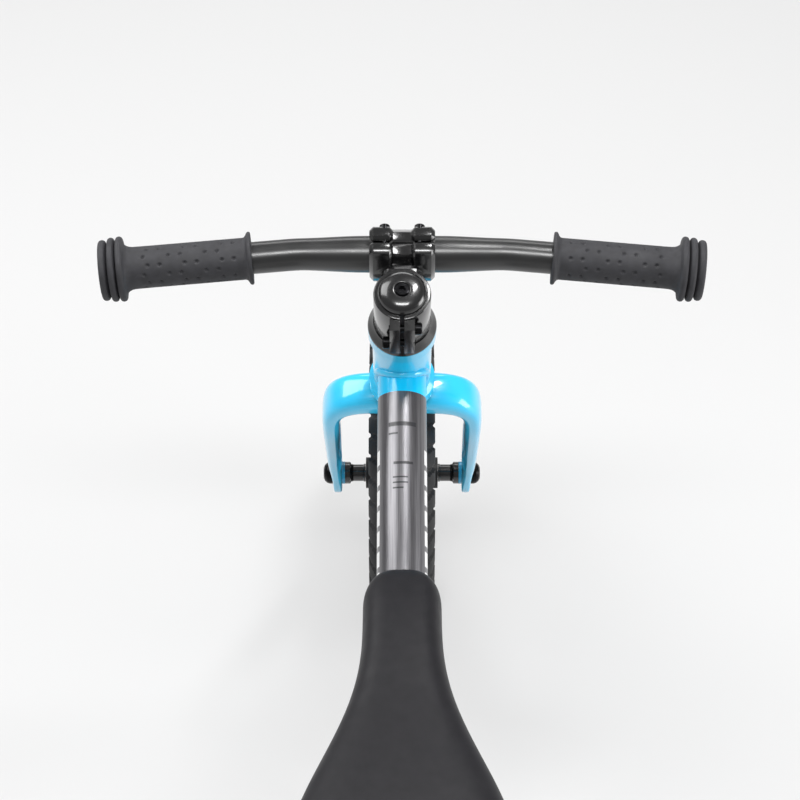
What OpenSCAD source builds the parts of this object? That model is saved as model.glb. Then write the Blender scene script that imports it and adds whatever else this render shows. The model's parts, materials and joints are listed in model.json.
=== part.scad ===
/* [Wheels] */
// Distance between the two wheel axles
wheelbase = 560; // [500:1:680]
// Width of a tyre across its casing
tyre_w = 52; // [42:0.5:60]
// Thickness of the tyre casing
tyre_wall = 3; // [2:0.1:4]
// Radius of the bead seat, for a 203 mm rim
bead_r = 101.5; // [98:0.5:104]
// Number of moulded spokes in a wheel
spoke_count = 10; // [8:1:14]
// Radius of the hub barrel
hub_r = 16; // [14:0.5:20]
// Wall of the hub around each bearing
hub_end_wall = 2; // [1.5:0.1:4]
// Length of the hub between its two end faces
hub_l = 60; // [54:1:66]
// Outer radius of a wheel bearing
bearing_r = 11; // [10:0.5:12]
// Thickness of a wheel bearing
bearing_l = 7; // [6:0.5:9]
// Radius of a wheel axle
axle_r = 4; // [3.5:0.1:5]

/* [Fork and headset] */
// Angle of the steering axis above the ground
head_angle = 70; // [66:0.5:74]
// Forward offset of the front axle from the steering axis
fork_rake = 13.7; // [8:0.1:25]
// Gap from the front tyre up to the underside of the crown
tyre_gap = 29.5; // [20:0.5:60]
// Distance between the inner faces of the dropout bosses
fork_gap = 95; // [90:0.5:105]
// Thickness of a fork dropout
dropout_t = 8; // [6:0.5:10]
// Height of the boss on a dropout's inner face
boss_h = 2; // [1:0.5:4]
// Wall of the fork crown before and behind the steerer
crown_wall = 0.7; // [0.5:0.1:6]
// Height of the fork crown in its middle
crown_h = 25; // [20:1:28]
// Outer radius of the steerer tube
steerer_r = 14.3; // [12.7:0.1:15]
// Wall of the steerer tube
steerer_wall = 2.3; // [1.5:0.1:3]
// Height of the visible part of the crown race
race_h = 7; // [5:0.5:10]
// Height of the conical headset cover
cover_h = 8; // [5:0.5:14]

/* [Frame] */
// Length of the head tube
head_tube_l = 92; // [84:1:120]
// Outer radius of the head tube between its collars
head_tube_r = 21; // [20:0.5:24]
// How far the head tube's end collars stand out of it
collar_lip = 3; // [1.5:0.5:5]
// Distance from the head tube's top to the main tube's axis
main_drop = 52; // [40:1:60]
// Height above the rear axle at which the seat tube crosses the main tube
seat_rise = 118.171; // [90:0.001:140]
// Outer radius of the main tube
main_r = 17.5; // [16.5:0.5:20]
// Wall of the main tube
main_wall = 2; // [1.5:0.1:3]
// Level distance from the rear tyre to the seat tube's axis, at the main tube
seat_gap = 13.386; // [12:0.001:60]
// Length of main tube behind the seat tube's axis
main_tail = 27; // [24:1:32]
// Wall of the seat tube around the post
seat_tube_wall = 2.25; // [1.5:0.05:4]
// Length of seat tube above the main tube's axis
seat_up = 38; // [36:1:50]
// Length of seat tube below the main tube's axis
seat_down = 92; // [80:1:110]
// Radius of the stays
stay_r = 7; // [6:0.5:8]
// Wall of the stays
stay_wall = 1.5; // [1:0.1:2]
// Thickness of a rear dropout
rear_dropout_t = 7; // [5:0.5:9]

/* [Handlebar and stem] */
// Radius of the handlebar in the stem's clamp
bar_r = 12.7; // [11.5:0.1:13]
// Radius of the handlebar under the grips
bar_end_r = 11.1; // [9.5:0.1:11.1]
// Wall of the handlebar
bar_wall = 2; // [1.5:0.1:3]
// Straight length each side of the middle of the handlebar
bar_straight = 65; // [55:1:90]
// Backward sweep of the handlebar's two ends
bar_sweep = 5.5; // [3:0.5:12]
// Length from the end of the bend to the grip
bar_gap = 24.4; // [18:0.1:60]
// Reach of the stem from the steering axis to the handlebar
stem_reach = 41; // [36:1:60]
// Height of the stem's clamp on the steerer
stem_h = 40; // [36:1:46]
// Width of the stem where it holds the handlebar
stem_w = 45; // [40:1:52]
// Length of a grip, with its end discs
grip_l = 104.5; // [90:0.5:120]
// Radius of a grip's body
grip_r = 14.5; // [13:0.1:16]
// Radius of the largest disc at a grip's end
grip_disc_r = 22.5; // [20:0.5:24]

/* [Saddle] */
// Length of the saddle
saddle_l = 226; // [200:1:250]
// Half width of the saddle's nose
saddle_nose_w = 26; // [22:0.5:32]
// Half width of the saddle's tail
saddle_tail_w = 69; // [60:0.5:80]
// Thickness of the padding at its crown
pad_h = 24; // [18:1:32]
// Distance from the seat post's head to the saddle's nose
nose_reach = 145; // [110:1:150]
// Radius of the seat post
post_r = 13.6; // [12.7:0.1:14]
// Length of seat post held below the top of the seat tube
post_in = 122; // [100:1:125]
// Length of seat post between the seat tube and the post's head
post_out = 23; // [22:1:60]
// Half of the distance between the saddle's rails
rail_x = 19; // [16:0.5:20]

/* [Fits] */
// Radial clearance of a shaft that turns or slides in its hole
run_clear = 0.05; // [0.02:0.01:0.1]
// Gap between faces that turn past each other
face_gap = 0.3; // [0.2:0.1:1]

/* [Hidden] */
$fn = 96;

bead_lap = 5;
tyre_r = bead_r + tyre_w - bead_lap;
front_y = wheelbase / 2;
rear_y = -wheelbase / 2;

// The steering axis, measured down from the top face of the stem
cover_top = stem_h;
head_top = cover_top + cover_h;
head_bottom = head_top + head_tube_l;
crown_top = head_bottom + race_h;
fork_length = tyre_r + tyre_gap + crown_h;
axle_drop = crown_top + fork_length;
main_at = head_top + main_drop;
tilt = 90 - head_angle;
steer_top_y = front_y - axle_drop * sin(tilt) - fork_rake * cos(tilt);
steer_top_z = tyre_r + axle_drop * cos(tilt) - fork_rake * sin(tilt);
main_y = steer_top_y + main_at * sin(tilt);
main_z = steer_top_z - main_at * cos(tilt);

// The seat tube's axis crosses the main tube's axis here, at the head tube's angle
seat_y = rear_y + tyre_r + seat_gap;
seat_z = tyre_r + seat_rise;
main_slope = atan2(main_z - seat_z, main_y - seat_y);
seat_station = norm([main_y - seat_y, main_z - seat_z]);
post_bore_r = post_r + run_clear;
seat_tube_r = post_bore_r + seat_tube_wall;
post_head_at = seat_up + post_out;
head_y = seat_y - post_head_at * sin(tilt);
head_z = seat_z + post_head_at * cos(tilt);

// Headset
collar_r = head_tube_r + collar_lip;
head_bearing_r = head_tube_r - 0.5;
race_r = head_tube_r + 1.5;
head_bearing_bore = steerer_r + 0.8;
head_bearing_h = 7;
head_seat_depth = 8;
head_bore_r = head_tube_r - 3;
collar_h = 10;
steerer_bore_r = steerer_r - steerer_wall;

// Fork blades
crown_depth = 2 * (steerer_r + crown_wall);
leg_in = fork_gap / 2 + boss_h;
leg_out = leg_in + dropout_t;
leg_bulge = 4;
leg_top = crown_top + crown_h + 13;
tip_r = 17;
boss_r = 9.5;
shoulder_x = leg_out + leg_bulge;

// Stem
bar_drop = 19.5;
stem_top_r = steerer_r + 5.05;
stem_bottom_r = steerer_r + 5.7;
cap_r = steerer_r + 2.2;
stem_arm_w = 30;
bar_clamp_r = bar_r + 4.9;
face_split = 1;
lug_half_w = 8.5;
lug_back = steerer_r + 12.4;
slit_w = 2.9;
pinch_y = -steerer_r - 7;
pinch_drops = [10, stem_h - 9];
face_bolt_x = 12;
face_bolt_z = bar_r + 4.1;
pinch_bolt_r = 2.5;
face_bolt_r = 2;
face_head_r = 3.6;
pinch_head_r = 4.25;

// Handlebar
bar_bend_r = 150;
bar_mid = stem_w / 2 + 4;
bar_bends = 4;
bar_sides = 48;
bend_end_x = bar_straight + bar_bend_r * sin(bar_sweep);
bend_end_y = -bar_bend_r * (1 - cos(bar_sweep));
bar_end_l = bar_gap + grip_l - 4;

// Wheels
casing_r = tyre_w / 2;
casing_at = tyre_r - casing_r;
tube_lift = 3;
tube_at = casing_at + tube_lift;
tube_r = casing_r - tyre_wall - tube_lift - 0.2;
rim_half_w = 15;
rim_hook_r = bead_r + 5.5;
rim_inner_r = bead_r - 9;
rim_well_r = bead_r - 3.5;
hub_end_r = bearing_r + hub_end_wall;
hub_bore_r = bearing_r - 2;
hub_sleeve_r = axle_r + 2;
spoke_t = 12;
spoke_foot = 11;
spoke_tip = 8.5;
window_in = max(hub_r + 8, (spoke_foot / 2 + 1) / tan(180 / spoke_count));
window_out = rim_inner_r - 6.5;
valve_turn = 180 / spoke_count;
valve_r = 4;
valve_tip_r = rim_inner_r - 18.5;

// Axle bolts
bolt_head_r = 9.25;
bolt_head_h = 8;
bolt_shank_r = 2.5;

// Rear yokes, each from its root on a tube, and the stays that they carry
yoke_t = 14;
stay_x = tyre_w / 2 + 11;
upper_root = [0, seat_y - (main_tail - 6) * cos(main_slope), seat_z - (main_tail - 6) * sin(main_slope)];
upper_at = [rear_y + tyre_r - 43.5, tyre_r + 91.5];
upper_way = upper_at - [upper_root[1], upper_root[2]];
upper_reach = norm(upper_way);
upper_pitch = atan2(-upper_way[1], -upper_way[0]);
upper_start = [stay_x, upper_at[0], upper_at[1]];
upper_end = [fork_gap / 2 + rear_dropout_t / 2, rear_y + 11, tyre_r + 18];
lower_root = [0, seat_y + (seat_down - 14) * sin(tilt), seat_z - (seat_down - 14) * cos(tilt)];
lower_at = [rear_y + tyre_r - 5.5, tyre_r + 34.5];
lower_way = lower_at - [lower_root[1], lower_root[2]];
lower_reach = norm(lower_way);
lower_pitch = atan2(-lower_way[1], -lower_way[0]);
lower_start = [stay_x, lower_at[0], lower_at[1]];
lower_end = [fork_gap / 2 + rear_dropout_t / 2, rear_y + 19, tyre_r + 4];

// Seat clamp, in the seat tube's frame
seat_ring_r = seat_tube_r + 4.1;
seat_ring_h = 14;
ear_out = 9;
skewer_r = 2.9;
skewer_y = -seat_ring_r - 5;
cam_x = -17;
cam_r = 7;
cam_h = 12;
cam_slot_h = 6.4;
cam_slot_y = 5.3;
cam_pin_r = 2.5;
lever_l = 46;

// Saddle, in a level frame at the seat post's head
head_barrel_r = 10;
head_barrel_w = 30;
rail_r = 3.5;
rail_z = 11;
clamp_half_y = 23;
clamp_bolt_y = 17;
shell_z = 18;
shell_t = 4;
pad_z = shell_z + shell_t;

// ---- placing ------------------------------------------------------------

// Frame on the steering axis: +Z up the axis, +Y forward, origin on the stem's top face
module on_steering() {
    translate([0, steer_top_y, steer_top_z]) rotate([tilt, 0, 0]) children();
}

// Frame on the main tube: +Z back along the tube, origin on the steering axis
module on_main_tube() {
    translate([0, main_y, main_z]) rotate([90 + main_slope, 0, 0]) children();
}

// Frame on the seat tube: +Z up the tube, origin where it crosses the main tube
module on_seat_tube() {
    translate([0, seat_y, seat_z]) rotate([tilt, 0, 0]) children();
}

// Level frame at the head of the seat post
module at_saddle() {
    translate([0, head_y, head_z]) children();
}

module at_front_axle() {
    translate([0, front_y, tyre_r]) children();
}

module at_rear_axle() {
    translate([0, rear_y, tyre_r]) children();
}

// A cylinder along X, from x = a to x = b
module x_rod(a, b, r) {
    translate([a, 0, 0]) rotate([0, 90, 0]) cylinder(h = b - a, r = r);
}

// A body of revolution about X, drawn as [radius, x] points
module x_turned(points) {
    rotate([0, 90, 0]) rotate_extrude() polygon(points);
}

// A body of revolution about Z, drawn as [radius, z] points
module z_turned(points) {
    rotate_extrude() polygon(points);
}

// A rod between two points
module rod(a, b, r) {
    d = b - a;
    l = norm(d);
    translate(a) rotate([0, acos(d[2] / l), atan2(d[1], d[0])]) cylinder(h = l, r = r);
}

// A tube between two points
module tube(a, b, r, wall) {
    difference() {
        rod(a, b, r);
        rod(a, b, r - wall);
    }
}

module mirrored_x() {
    mirror([1, 0, 0]) children();
}

// ---- frame --------------------------------------------------------------

module head_tube_core() {
    z_turned([
        [0, -head_bottom], [collar_r, -head_bottom], [collar_r, -head_bottom + collar_h],
        [head_tube_r, -head_bottom + collar_h + 3], [head_tube_r, -head_top - collar_h - 3],
        [collar_r, -head_top - collar_h], [collar_r, -head_top], [0, -head_top]
    ]);
}

module head_tube() {
    color("deepskyblue") on_steering() difference() {
        head_tube_core();
        translate([0, 0, -head_bottom - 1]) cylinder(h = head_tube_l + 2, r = head_bore_r);
        translate([0, 0, -head_top - head_seat_depth]) cylinder(h = 20, r = head_bearing_r);
        translate([0, 0, -head_bottom - 20 + head_seat_depth]) cylinder(h = 20, r = head_bearing_r);
    }
}

module head_bearing(z) {
    color("dimgray") on_steering() translate([0, 0, z]) difference() {
        cylinder(h = head_bearing_h, r = head_bearing_r);
        translate([0, 0, -1]) cylinder(h = head_bearing_h + 2, r = head_bearing_bore);
    }
}

module upper_head_bearing() {
    head_bearing(-head_top - head_seat_depth);
}

module lower_head_bearing() {
    head_bearing(-head_bottom + head_seat_depth - head_bearing_h);
}

module seat_tube_core() {
    on_seat_tube() translate([0, 0, -seat_down]) cylinder(h = seat_down + seat_up, r = seat_tube_r);
}

module main_tube() {
    tube_l = seat_station + main_tail;
    color("silver") difference() {
        on_main_tube() difference() {
            cylinder(h = tube_l, r = main_r);
            translate([0, 0, -1]) cylinder(h = tube_l - 2, r = main_r - main_wall);
        }
        on_steering() head_tube_core();
        seat_tube_core();
    }
}

module seat_tube() {
    color("silver") on_seat_tube() difference() {
        translate([0, 0, -seat_down]) cylinder(h = seat_down + seat_up, r = seat_tube_r);
        translate([0, 0, -seat_down + 3]) cylinder(h = seat_down + seat_up, r = post_bore_r);
        translate([-1, -seat_tube_r - 1, seat_up - 16]) cube([2, seat_tube_r, 20]);
    }
}

module main_tube_core() {
    on_main_tube() cylinder(h = seat_station + main_tail, r = main_r);
}

// A flat yoke in the plane of X and a direction back and down, forked around the tyre
module yoke_core(at, reach, pitch, half_w) {
    translate(at) rotate([180 + pitch, 0, 0]) translate([0, 0, -yoke_t / 2]) linear_extrude(yoke_t)
        polygon([
            [-half_w, 0], [half_w, 0], [half_w + 3, reach * 0.3], [stay_x + 8, reach * 0.82],
            [stay_x + 8, reach + 6], [stay_x - 7, reach + 6], [stay_x - 10, reach * 0.72],
            [stay_x - 20, reach * 0.52], [-stay_x + 20, reach * 0.52], [-stay_x + 10, reach * 0.72],
            [-stay_x + 7, reach + 6], [-stay_x - 8, reach + 6], [-stay_x - 8, reach * 0.82],
            [-half_w - 3, reach * 0.3]
        ]);
}

module upper_yoke_core() {
    yoke_core(upper_root, upper_reach, upper_pitch, 13);
}

module lower_yoke_core() {
    yoke_core(lower_root, lower_reach, lower_pitch, 12);
}

module upper_yoke() {
    color("silver") difference() {
        upper_yoke_core();
        main_tube_core();
    }
}

module lower_yoke() {
    color("silver") difference() {
        lower_yoke_core();
        seat_tube_core();
    }
}

module upper_stay() {
    color("silver") difference() {
        tube(upper_start, upper_end, stay_r, stay_wall);
        upper_yoke_core();
        rear_dropout_core();
    }
}

module lower_stay() {
    color("silver") difference() {
        tube(lower_start, lower_end, stay_r, stay_wall);
        lower_yoke_core();
        rear_dropout_core();
    }
}

module upper_stay_left() {
    mirrored_x() upper_stay();
}

module upper_stay_right() {
    upper_stay();
}

module lower_stay_left() {
    mirrored_x() lower_stay();
}

module lower_stay_right() {
    lower_stay();
}

// Rear dropout on the right, as a plate in the YZ plane
module rear_dropout_core() {
    at_rear_axle() translate([fork_gap / 2, 0, 0]) rotate([90, 0, 90]) linear_extrude(rear_dropout_t) {
        circle(r = 15);
        polygon([[2, -15], [40, -9], [41, 9], [30, 22], [30, 42], [18, 42], [-10, 12]]);
    }
}

module rear_dropout() {
    color("silver") difference() {
        rear_dropout_core();
        at_rear_axle() x_rod(0, 80, axle_r + run_clear);
    }
}

module rear_dropout_left() {
    mirrored_x() rear_dropout();
}

module rear_dropout_right() {
    rear_dropout();
}

module seat_collar() {
    color("black") on_seat_tube() translate([0, 0, seat_up - seat_ring_h + 2]) difference() {
        union() {
            cylinder(h = seat_ring_h, r = seat_ring_r);
            translate([-ear_out, skewer_y - 6, 0]) cube([2 * ear_out, 14, seat_ring_h]);
        }
        translate([0, 0, -1]) cylinder(h = seat_ring_h - 1, r = seat_tube_r);
        translate([0, 0, -1]) cylinder(h = seat_ring_h + 2, r = post_bore_r + 0.4);
        translate([-1.5, -40, -1]) cube([3, 40, seat_ring_h + 2]);
        translate([0, skewer_y, seat_ring_h / 2]) x_rod(-20, 20, skewer_r + run_clear);
    }
}

module on_cam() {
    on_seat_tube() translate([cam_x, skewer_y, seat_up + 2 - seat_ring_h / 2]) children();
}

module collar_skewer() {
    color("gray") on_cam() {
        difference() {
            union() {
                x_rod(0, ear_out - cam_x + 5, skewer_r);
                translate([0, 0, -3]) cylinder(h = 6, r = 5);
            }
            translate([0, 0, -4]) cylinder(h = 8, r = cam_pin_r);
        }
        translate([0, 0, -cam_h / 2]) cylinder(h = cam_h, r = cam_pin_r);
        x_rod(ear_out - cam_x, ear_out - cam_x + 6, 6.5);
    }
}

module quick_release_lever() {
    color("black") on_cam() difference() {
        union() {
            translate([0, 0, -cam_h / 2]) cylinder(h = cam_h, r = cam_r);
            translate([-cam_r - 4, 0, -cam_h / 2]) cube([5, lever_l, cam_h]);
            translate([-cam_r - 4 + 2.5, lever_l, -cam_h / 2]) cylinder(h = cam_h, r = 2.5);
            translate([-cam_r, -3, -cam_h / 2]) cube([cam_r, 8, cam_h]);
        }
        translate([0, 0, -cam_h]) cylinder(h = 2 * cam_h, r = cam_pin_r + run_clear);
        translate([-20, -20, -cam_slot_h / 2]) cube([40, 20 + cam_slot_y, cam_slot_h]);
    }
}

// ---- fork and steering --------------------------------------------------

module steerer_tube() {
    color("gray") on_steering() translate([0, 0, -crown_top - crown_h + 2]) difference() {
        cylinder(h = crown_top + crown_h - 2 - 3, r = steerer_r);
        translate([0, 0, -1]) cylinder(h = crown_top + crown_h + 2, r = steerer_bore_r);
    }
}

// The crown's outline seen from behind: [x, distance down the steering axis]
module crown_outline() {
    top = [
        [0, crown_top], [race_r, crown_top], [shoulder_x - 32.5, crown_top + 1], [shoulder_x - 22.5, crown_top + 3],
        [shoulder_x - 14.5, crown_top + 7], [shoulder_x - 8.5, crown_top + 12],
        [shoulder_x - 3.5, crown_top + 19], [shoulder_x - 1, crown_top + 27], [shoulder_x, leg_top]
    ];
    under = [
        [leg_in - 3, leg_top], [leg_in - 3.6, leg_top - 5], [leg_in - 6.5, leg_top - 9.5],
        [leg_in - 12, leg_top - 12.2], [leg_in - 20, crown_top + crown_h], [0, crown_top + crown_h]
    ];
    right = concat(top, under);
    left = [for (i = [len(right) - 2 : -1 : 1]) [-right[i][0], right[i][1]]];
    polygon([for (p = concat(right, left)) [p[0], -p[1]]]);
}

module fork_crown() {
    color("deepskyblue") on_steering() difference() {
        rotate([90, 0, 0]) translate([0, 0, -crown_depth / 2]) linear_extrude(crown_depth) crown_outline();
        translate([0, 0, -axle_drop]) cylinder(h = axle_drop, r = steerer_r);
    }
}

// A blade's outline seen from behind, on the right
module leg_outline() {
    polygon([
        [shoulder_x, -leg_top], [shoulder_x + 0.3, -leg_top - 55], [shoulder_x, -axle_drop + 36],
        [shoulder_x - 1.5, -axle_drop + 24], [leg_out, -axle_drop + 10],
        [leg_out, -axle_drop - tip_r], [leg_in, -axle_drop - tip_r], [leg_in, -axle_drop + 10],
        [leg_in - 1, -leg_top - 70], [leg_in - 3, -leg_top]
    ]);
}

// A blade's outline seen from the side: [forward, up the steering axis]
module leg_side() {
    translate([fork_rake, -axle_drop]) circle(r = tip_r);
    polygon([
        [-crown_depth / 2, -leg_top], [crown_depth / 2, -leg_top],
        [fork_rake + tip_r - 0.4, -axle_drop + 4], [fork_rake - tip_r + 0.4, -axle_drop + 4]
    ]);
}

module fork_leg() {
    color("deepskyblue") on_steering() difference() {
        union() {
            intersection() {
                rotate([90, 0, 0]) translate([0, 0, -60]) linear_extrude(120) leg_outline();
                rotate([90, 0, 90]) linear_extrude(100) leg_side();
            }
            translate([0, fork_rake, -axle_drop]) x_rod(fork_gap / 2, leg_in + 1, boss_r);
        }
        translate([0, fork_rake, -axle_drop]) x_rod(0, 100, axle_r + run_clear);
        translate([leg_in - 5, -8, -axle_drop + 45]) cube([7, 17, axle_drop - leg_top - 58]);
    }
}

module fork_leg_left() {
    mirrored_x() fork_leg();
}

module fork_leg_right() {
    fork_leg();
}

module crown_race() {
    color("black") on_steering() difference() {
        z_turned([
            [0, -crown_top], [race_r, -crown_top], [race_r, -head_bottom - face_gap - 0.7],
            [head_tube_r + 0.5, -head_bottom - face_gap], [head_bore_r, -head_bottom - face_gap],
            [head_bearing_bore - run_clear, -head_bottom + 0.7],
            [head_bearing_bore - run_clear, -head_bottom + 5], [0, -head_bottom + 5]
        ]);
        translate([0, 0, -crown_top - 1]) cylinder(h = 40, r = steerer_r);
    }
}

module headset_cover() {
    color("black") on_steering() difference() {
        z_turned([
            [0, -head_top + face_gap], [collar_r, -head_top + face_gap],
            [collar_r, -head_top + 2], [stem_bottom_r + 0.3, -cover_top], [0, -cover_top]
        ]);
        translate([0, 0, -head_top - 1]) cylinder(h = 40, r = steerer_r);
    }
}

module compression_ring() {
    color("gray") on_steering() translate([0, 0, -head_top - 5]) difference() {
        cylinder(h = 5 + face_gap, r = head_bearing_bore - run_clear);
        translate([0, 0, -1]) cylinder(h = 10, r = steerer_r);
    }
}

module star_nut() {
    color("gray") on_steering() translate([0, 0, -22]) difference() {
        union() {
            cylinder(h = 1.2, r = steerer_bore_r);
            cylinder(h = 8, r = 5);
            translate([0, 0, 6.8]) cylinder(h = 1.2, r = steerer_bore_r);
        }
        translate([0, 0, -1]) cylinder(h = 12, r = 3);
    }
}

module top_cap() {
    color("black") on_steering() difference() {
        z_turned([
            [0, 0], [cap_r, 0], [cap_r, 1.2], [cap_r - 0.7, 3], [cap_r - 2.5, 4.8], [cap_r - 5.5, 6.1],
            [cap_r - 9.5, 6.8], [0, 6.8]
        ]);
        translate([0, 0, -1]) cylinder(h = 20, r = 3.2);
        translate([0, 0, 2.4]) cylinder(h = 20, r = 5);
    }
}

module hex_socket(across, depth) {
    translate([0, 0, -depth]) cylinder(h = depth + 1, r = across / sqrt(3), $fn = 6);
}

module top_cap_bolt() {
    color("dimgray") on_steering() difference() {
        union() {
            translate([0, 0, -30]) cylinder(h = 33, r = 3);
            translate([0, 0, 2.4]) cylinder(h = 5, r = 4.7);
        }
        translate([0, 0, 7.4]) hex_socket(5, 3.4);
    }
}

// ---- stem and handlebar -------------------------------------------------

module on_bar() {
    on_steering() translate([0, stem_reach, -bar_drop]) children();
}

module stem_body() {
    color("black") difference() {
        on_steering() difference() {
            union() {
                translate([0, 0, -stem_h]) cylinder(h = stem_h, r1 = stem_bottom_r, r2 = stem_top_r);
                translate([-lug_half_w, -lug_back, -stem_h + 3]) cube([2 * lug_half_w, 14, stem_h - 5]);
                translate([-stem_arm_w / 2, 10, -bar_drop - 14])
                    cube([stem_arm_w, stem_reach - 12, 28]);
                translate([0, stem_reach, -bar_drop]) x_rod(-stem_w / 2, stem_w / 2, bar_clamp_r);
                for (s = [-1, 1], x = [-face_bolt_x, face_bolt_x])
                    translate([x, stem_reach - 9, -bar_drop + s * face_bolt_z])
                        rotate([-90, 0, 0]) cylinder(h = 9, r = 4.4);
            }
            translate([0, 0, -stem_h - 1]) cylinder(h = stem_h + 2, r = steerer_r);
            translate([-slit_w / 2, -lug_back - 1, -stem_h - 1]) cube([slit_w, lug_back, stem_h + 2]);
            translate([-20, -lug_back - 1, -bar_drop + 0.5]) cube([40, 4, 2]);
            for (d = pinch_drops) translate([0, pinch_y, -d]) x_rod(-20, 20, pinch_bolt_r);
            translate([0, pinch_y, -pinch_drops[0]]) x_rod(lug_half_w, 20, pinch_head_r + 0.2);
            translate([0, pinch_y, -pinch_drops[1]]) x_rod(-20, -lug_half_w, pinch_head_r + 0.2);
            translate([-stem_w, stem_reach - face_split / 2, -stem_h - 10]) cube([2 * stem_w, 60, 80]);
            translate([0, stem_reach, -bar_drop]) x_rod(-stem_w, stem_w, bar_r);
            for (s = [-1, 1], x = [-face_bolt_x, face_bolt_x])
                translate([x, stem_reach - 30, -bar_drop + s * face_bolt_z])
                    rotate([-90, 0, 0]) cylinder(h = 60, r = face_bolt_r);
        }
    }
}

module stem_faceplate() {
    color("black") on_bar() difference() {
        union() {
            x_rod(-stem_w / 2, stem_w / 2, bar_clamp_r);
            for (s = [-1, 1], x = [-face_bolt_x, face_bolt_x])
                translate([x, 0, s * face_bolt_z]) rotate([-90, 0, 0]) cylinder(h = 9, r = 4.4);
        }
        x_rod(-stem_w, stem_w, bar_r);
        translate([-stem_w, -60 + face_split / 2, -40]) cube([2 * stem_w, 60, 80]);
        for (s = [-1, 1], x = [-face_bolt_x, face_bolt_x])
            translate([x, -1, s * face_bolt_z]) rotate([-90, 0, 0]) {
                cylinder(h = 40, r = face_bolt_r);
                translate([0, 0, 10]) cylinder(h = 20, r = face_head_r + 0.2);
            }
        for (x = [-1, 1]) translate([x * 11 - 5, 11, -7.5]) cube([10, 20, 15]);
    }
}

module cap_screw(shank_r, shank_l, head_r, head_h) {
    difference() {
        union() {
            translate([0, 0, -shank_l]) cylinder(h = shank_l + 0.1, r = shank_r);
            cylinder(h = head_h, r = head_r);
        }
        translate([0, 0, head_h]) hex_socket(head_r * 0.9, head_h * 0.55);
    }
}

module faceplate_bolts() {
    color("black") on_bar() for (s = [-1, 1], x = [-face_bolt_x, face_bolt_x])
        translate([x, 9, s * face_bolt_z]) rotate([-90, 0, 0]) cap_screw(face_bolt_r, 17, face_head_r, 4);
}

module pinch_bolts() {
    color("black") on_steering() {
        translate([lug_half_w, pinch_y, -pinch_drops[0]]) rotate([0, 90, 0])
            cap_screw(pinch_bolt_r, 2 * lug_half_w + 1.5, pinch_head_r, 5);
        translate([-lug_half_w, pinch_y, -pinch_drops[1]]) rotate([0, -90, 0])
            cap_screw(pinch_bolt_r, 2 * lug_half_w + 1.5, pinch_head_r, 5);
    }
}

// The bar's stations from the middle to the right tip: along, back, turn and outer radius
function bar_stations() = concat(
    [[0, 0, 0, bar_r], [bar_mid, 0, 0, bar_r], [bar_straight - 8, 0, 0, bar_end_r]],
    [for (i = [0 : bar_bends])
        let (a = bar_sweep * i / bar_bends)
        [bar_straight + bar_bend_r * sin(a), -bar_bend_r * (1 - cos(a)), a, bar_end_r]],
    [[bend_end_x + bar_end_l * cos(bar_sweep), bend_end_y - bar_end_l * sin(bar_sweep), bar_sweep, bar_end_r]]
);

// The same stations from the left tip to the right one
function whole_bar(half) = concat(
    [for (i = [len(half) - 1 : -1 : 1]) [-half[i][0], half[i][1], -half[i][2], half[i][3]]], half
);

function bar_ring(at, r) = [for (i = [0 : bar_sides - 1])
    let (u = r * cos(360 * i / bar_sides), v = r * sin(360 * i / bar_sides))
    [at[0] + u * sin(at[2]), at[1] + u * cos(at[2]), v]];

// Outer rings first and inner ones after them, in one closed tube with open ends
module handlebar() {
    at = whole_bar(bar_stations());
    n = len(at);
    m = bar_sides;
    outer = [for (s = at) each bar_ring(s, s[3])];
    inner = [for (s = at) each bar_ring(s, s[3] - bar_wall)];
    color("black") on_bar() polyhedron(
        points = concat(outer, inner),
        faces = concat(
            [for (k = [0 : n - 2], i = [0 : m - 1]) let (j = (i + 1) % m)
                each [[k * m + i, (k + 1) * m + i, (k + 1) * m + j], [k * m + i, (k + 1) * m + j, k * m + j]]],
            [for (k = [0 : n - 2], i = [0 : m - 1]) let (j = (i + 1) % m, o = n * m)
                each [[o + k * m + i, o + (k + 1) * m + j, o + (k + 1) * m + i],
                    [o + k * m + i, o + k * m + j, o + (k + 1) * m + j]]],
            [for (i = [0 : m - 1]) let (j = (i + 1) % m, o = n * m)
                each [[i, j, o + j], [i, o + j, o + i]]],
            [for (i = [0 : m - 1]) let (j = (i + 1) % m, e = (n - 1) * m, o = n * m + (n - 1) * m)
                each [[e + i, o + j, e + j], [e + i, o + i, o + j]]]
        )
    );
}

// Half outline of a grip as [radius, distance from its inner end]
function disc_edge(at, r) = [[r - 1.2, at], [r, at + 1.6], [r, at + 3.4], [r - 1.2, at + 5]];
grip_end_at = grip_l - 20;
grip_profile = concat(
    [[0, 0], [18.3, 0], [18.3, 2.2], [17.3, 3], [grip_r + 1, 3.4], [grip_r, 6]],
    [[grip_r, grip_end_at - 8], [grip_r + 1.2, grip_end_at - 3], [grip_r + 3, grip_end_at]],
    disc_edge(grip_end_at + 3, grip_disc_r), [[grip_disc_r - 4, grip_end_at + 8.3]],
    disc_edge(grip_end_at + 8.7, grip_disc_r - 0.35), [[grip_disc_r - 4, grip_end_at + 14]],
    disc_edge(grip_end_at + 14.4, grip_disc_r - 1.5), [[grip_disc_r - 5, grip_l], [0, grip_l]]
);

module grip() {
    color("dimgray") on_bar() translate([bend_end_x, bend_end_y, 0]) rotate([0, 0, -bar_sweep])
        translate([bar_gap, 0, 0]) rotate([0, 90, 0]) difference() {
            rotate_extrude() polygon(grip_profile);
            translate([0, 0, -1]) cylinder(h = grip_l - 4 + 1, r = bar_end_r);
        }
}

module grip_left() {
    mirrored_x() grip();
}

module grip_right() {
    grip();
}

// ---- wheels -------------------------------------------------------------

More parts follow.
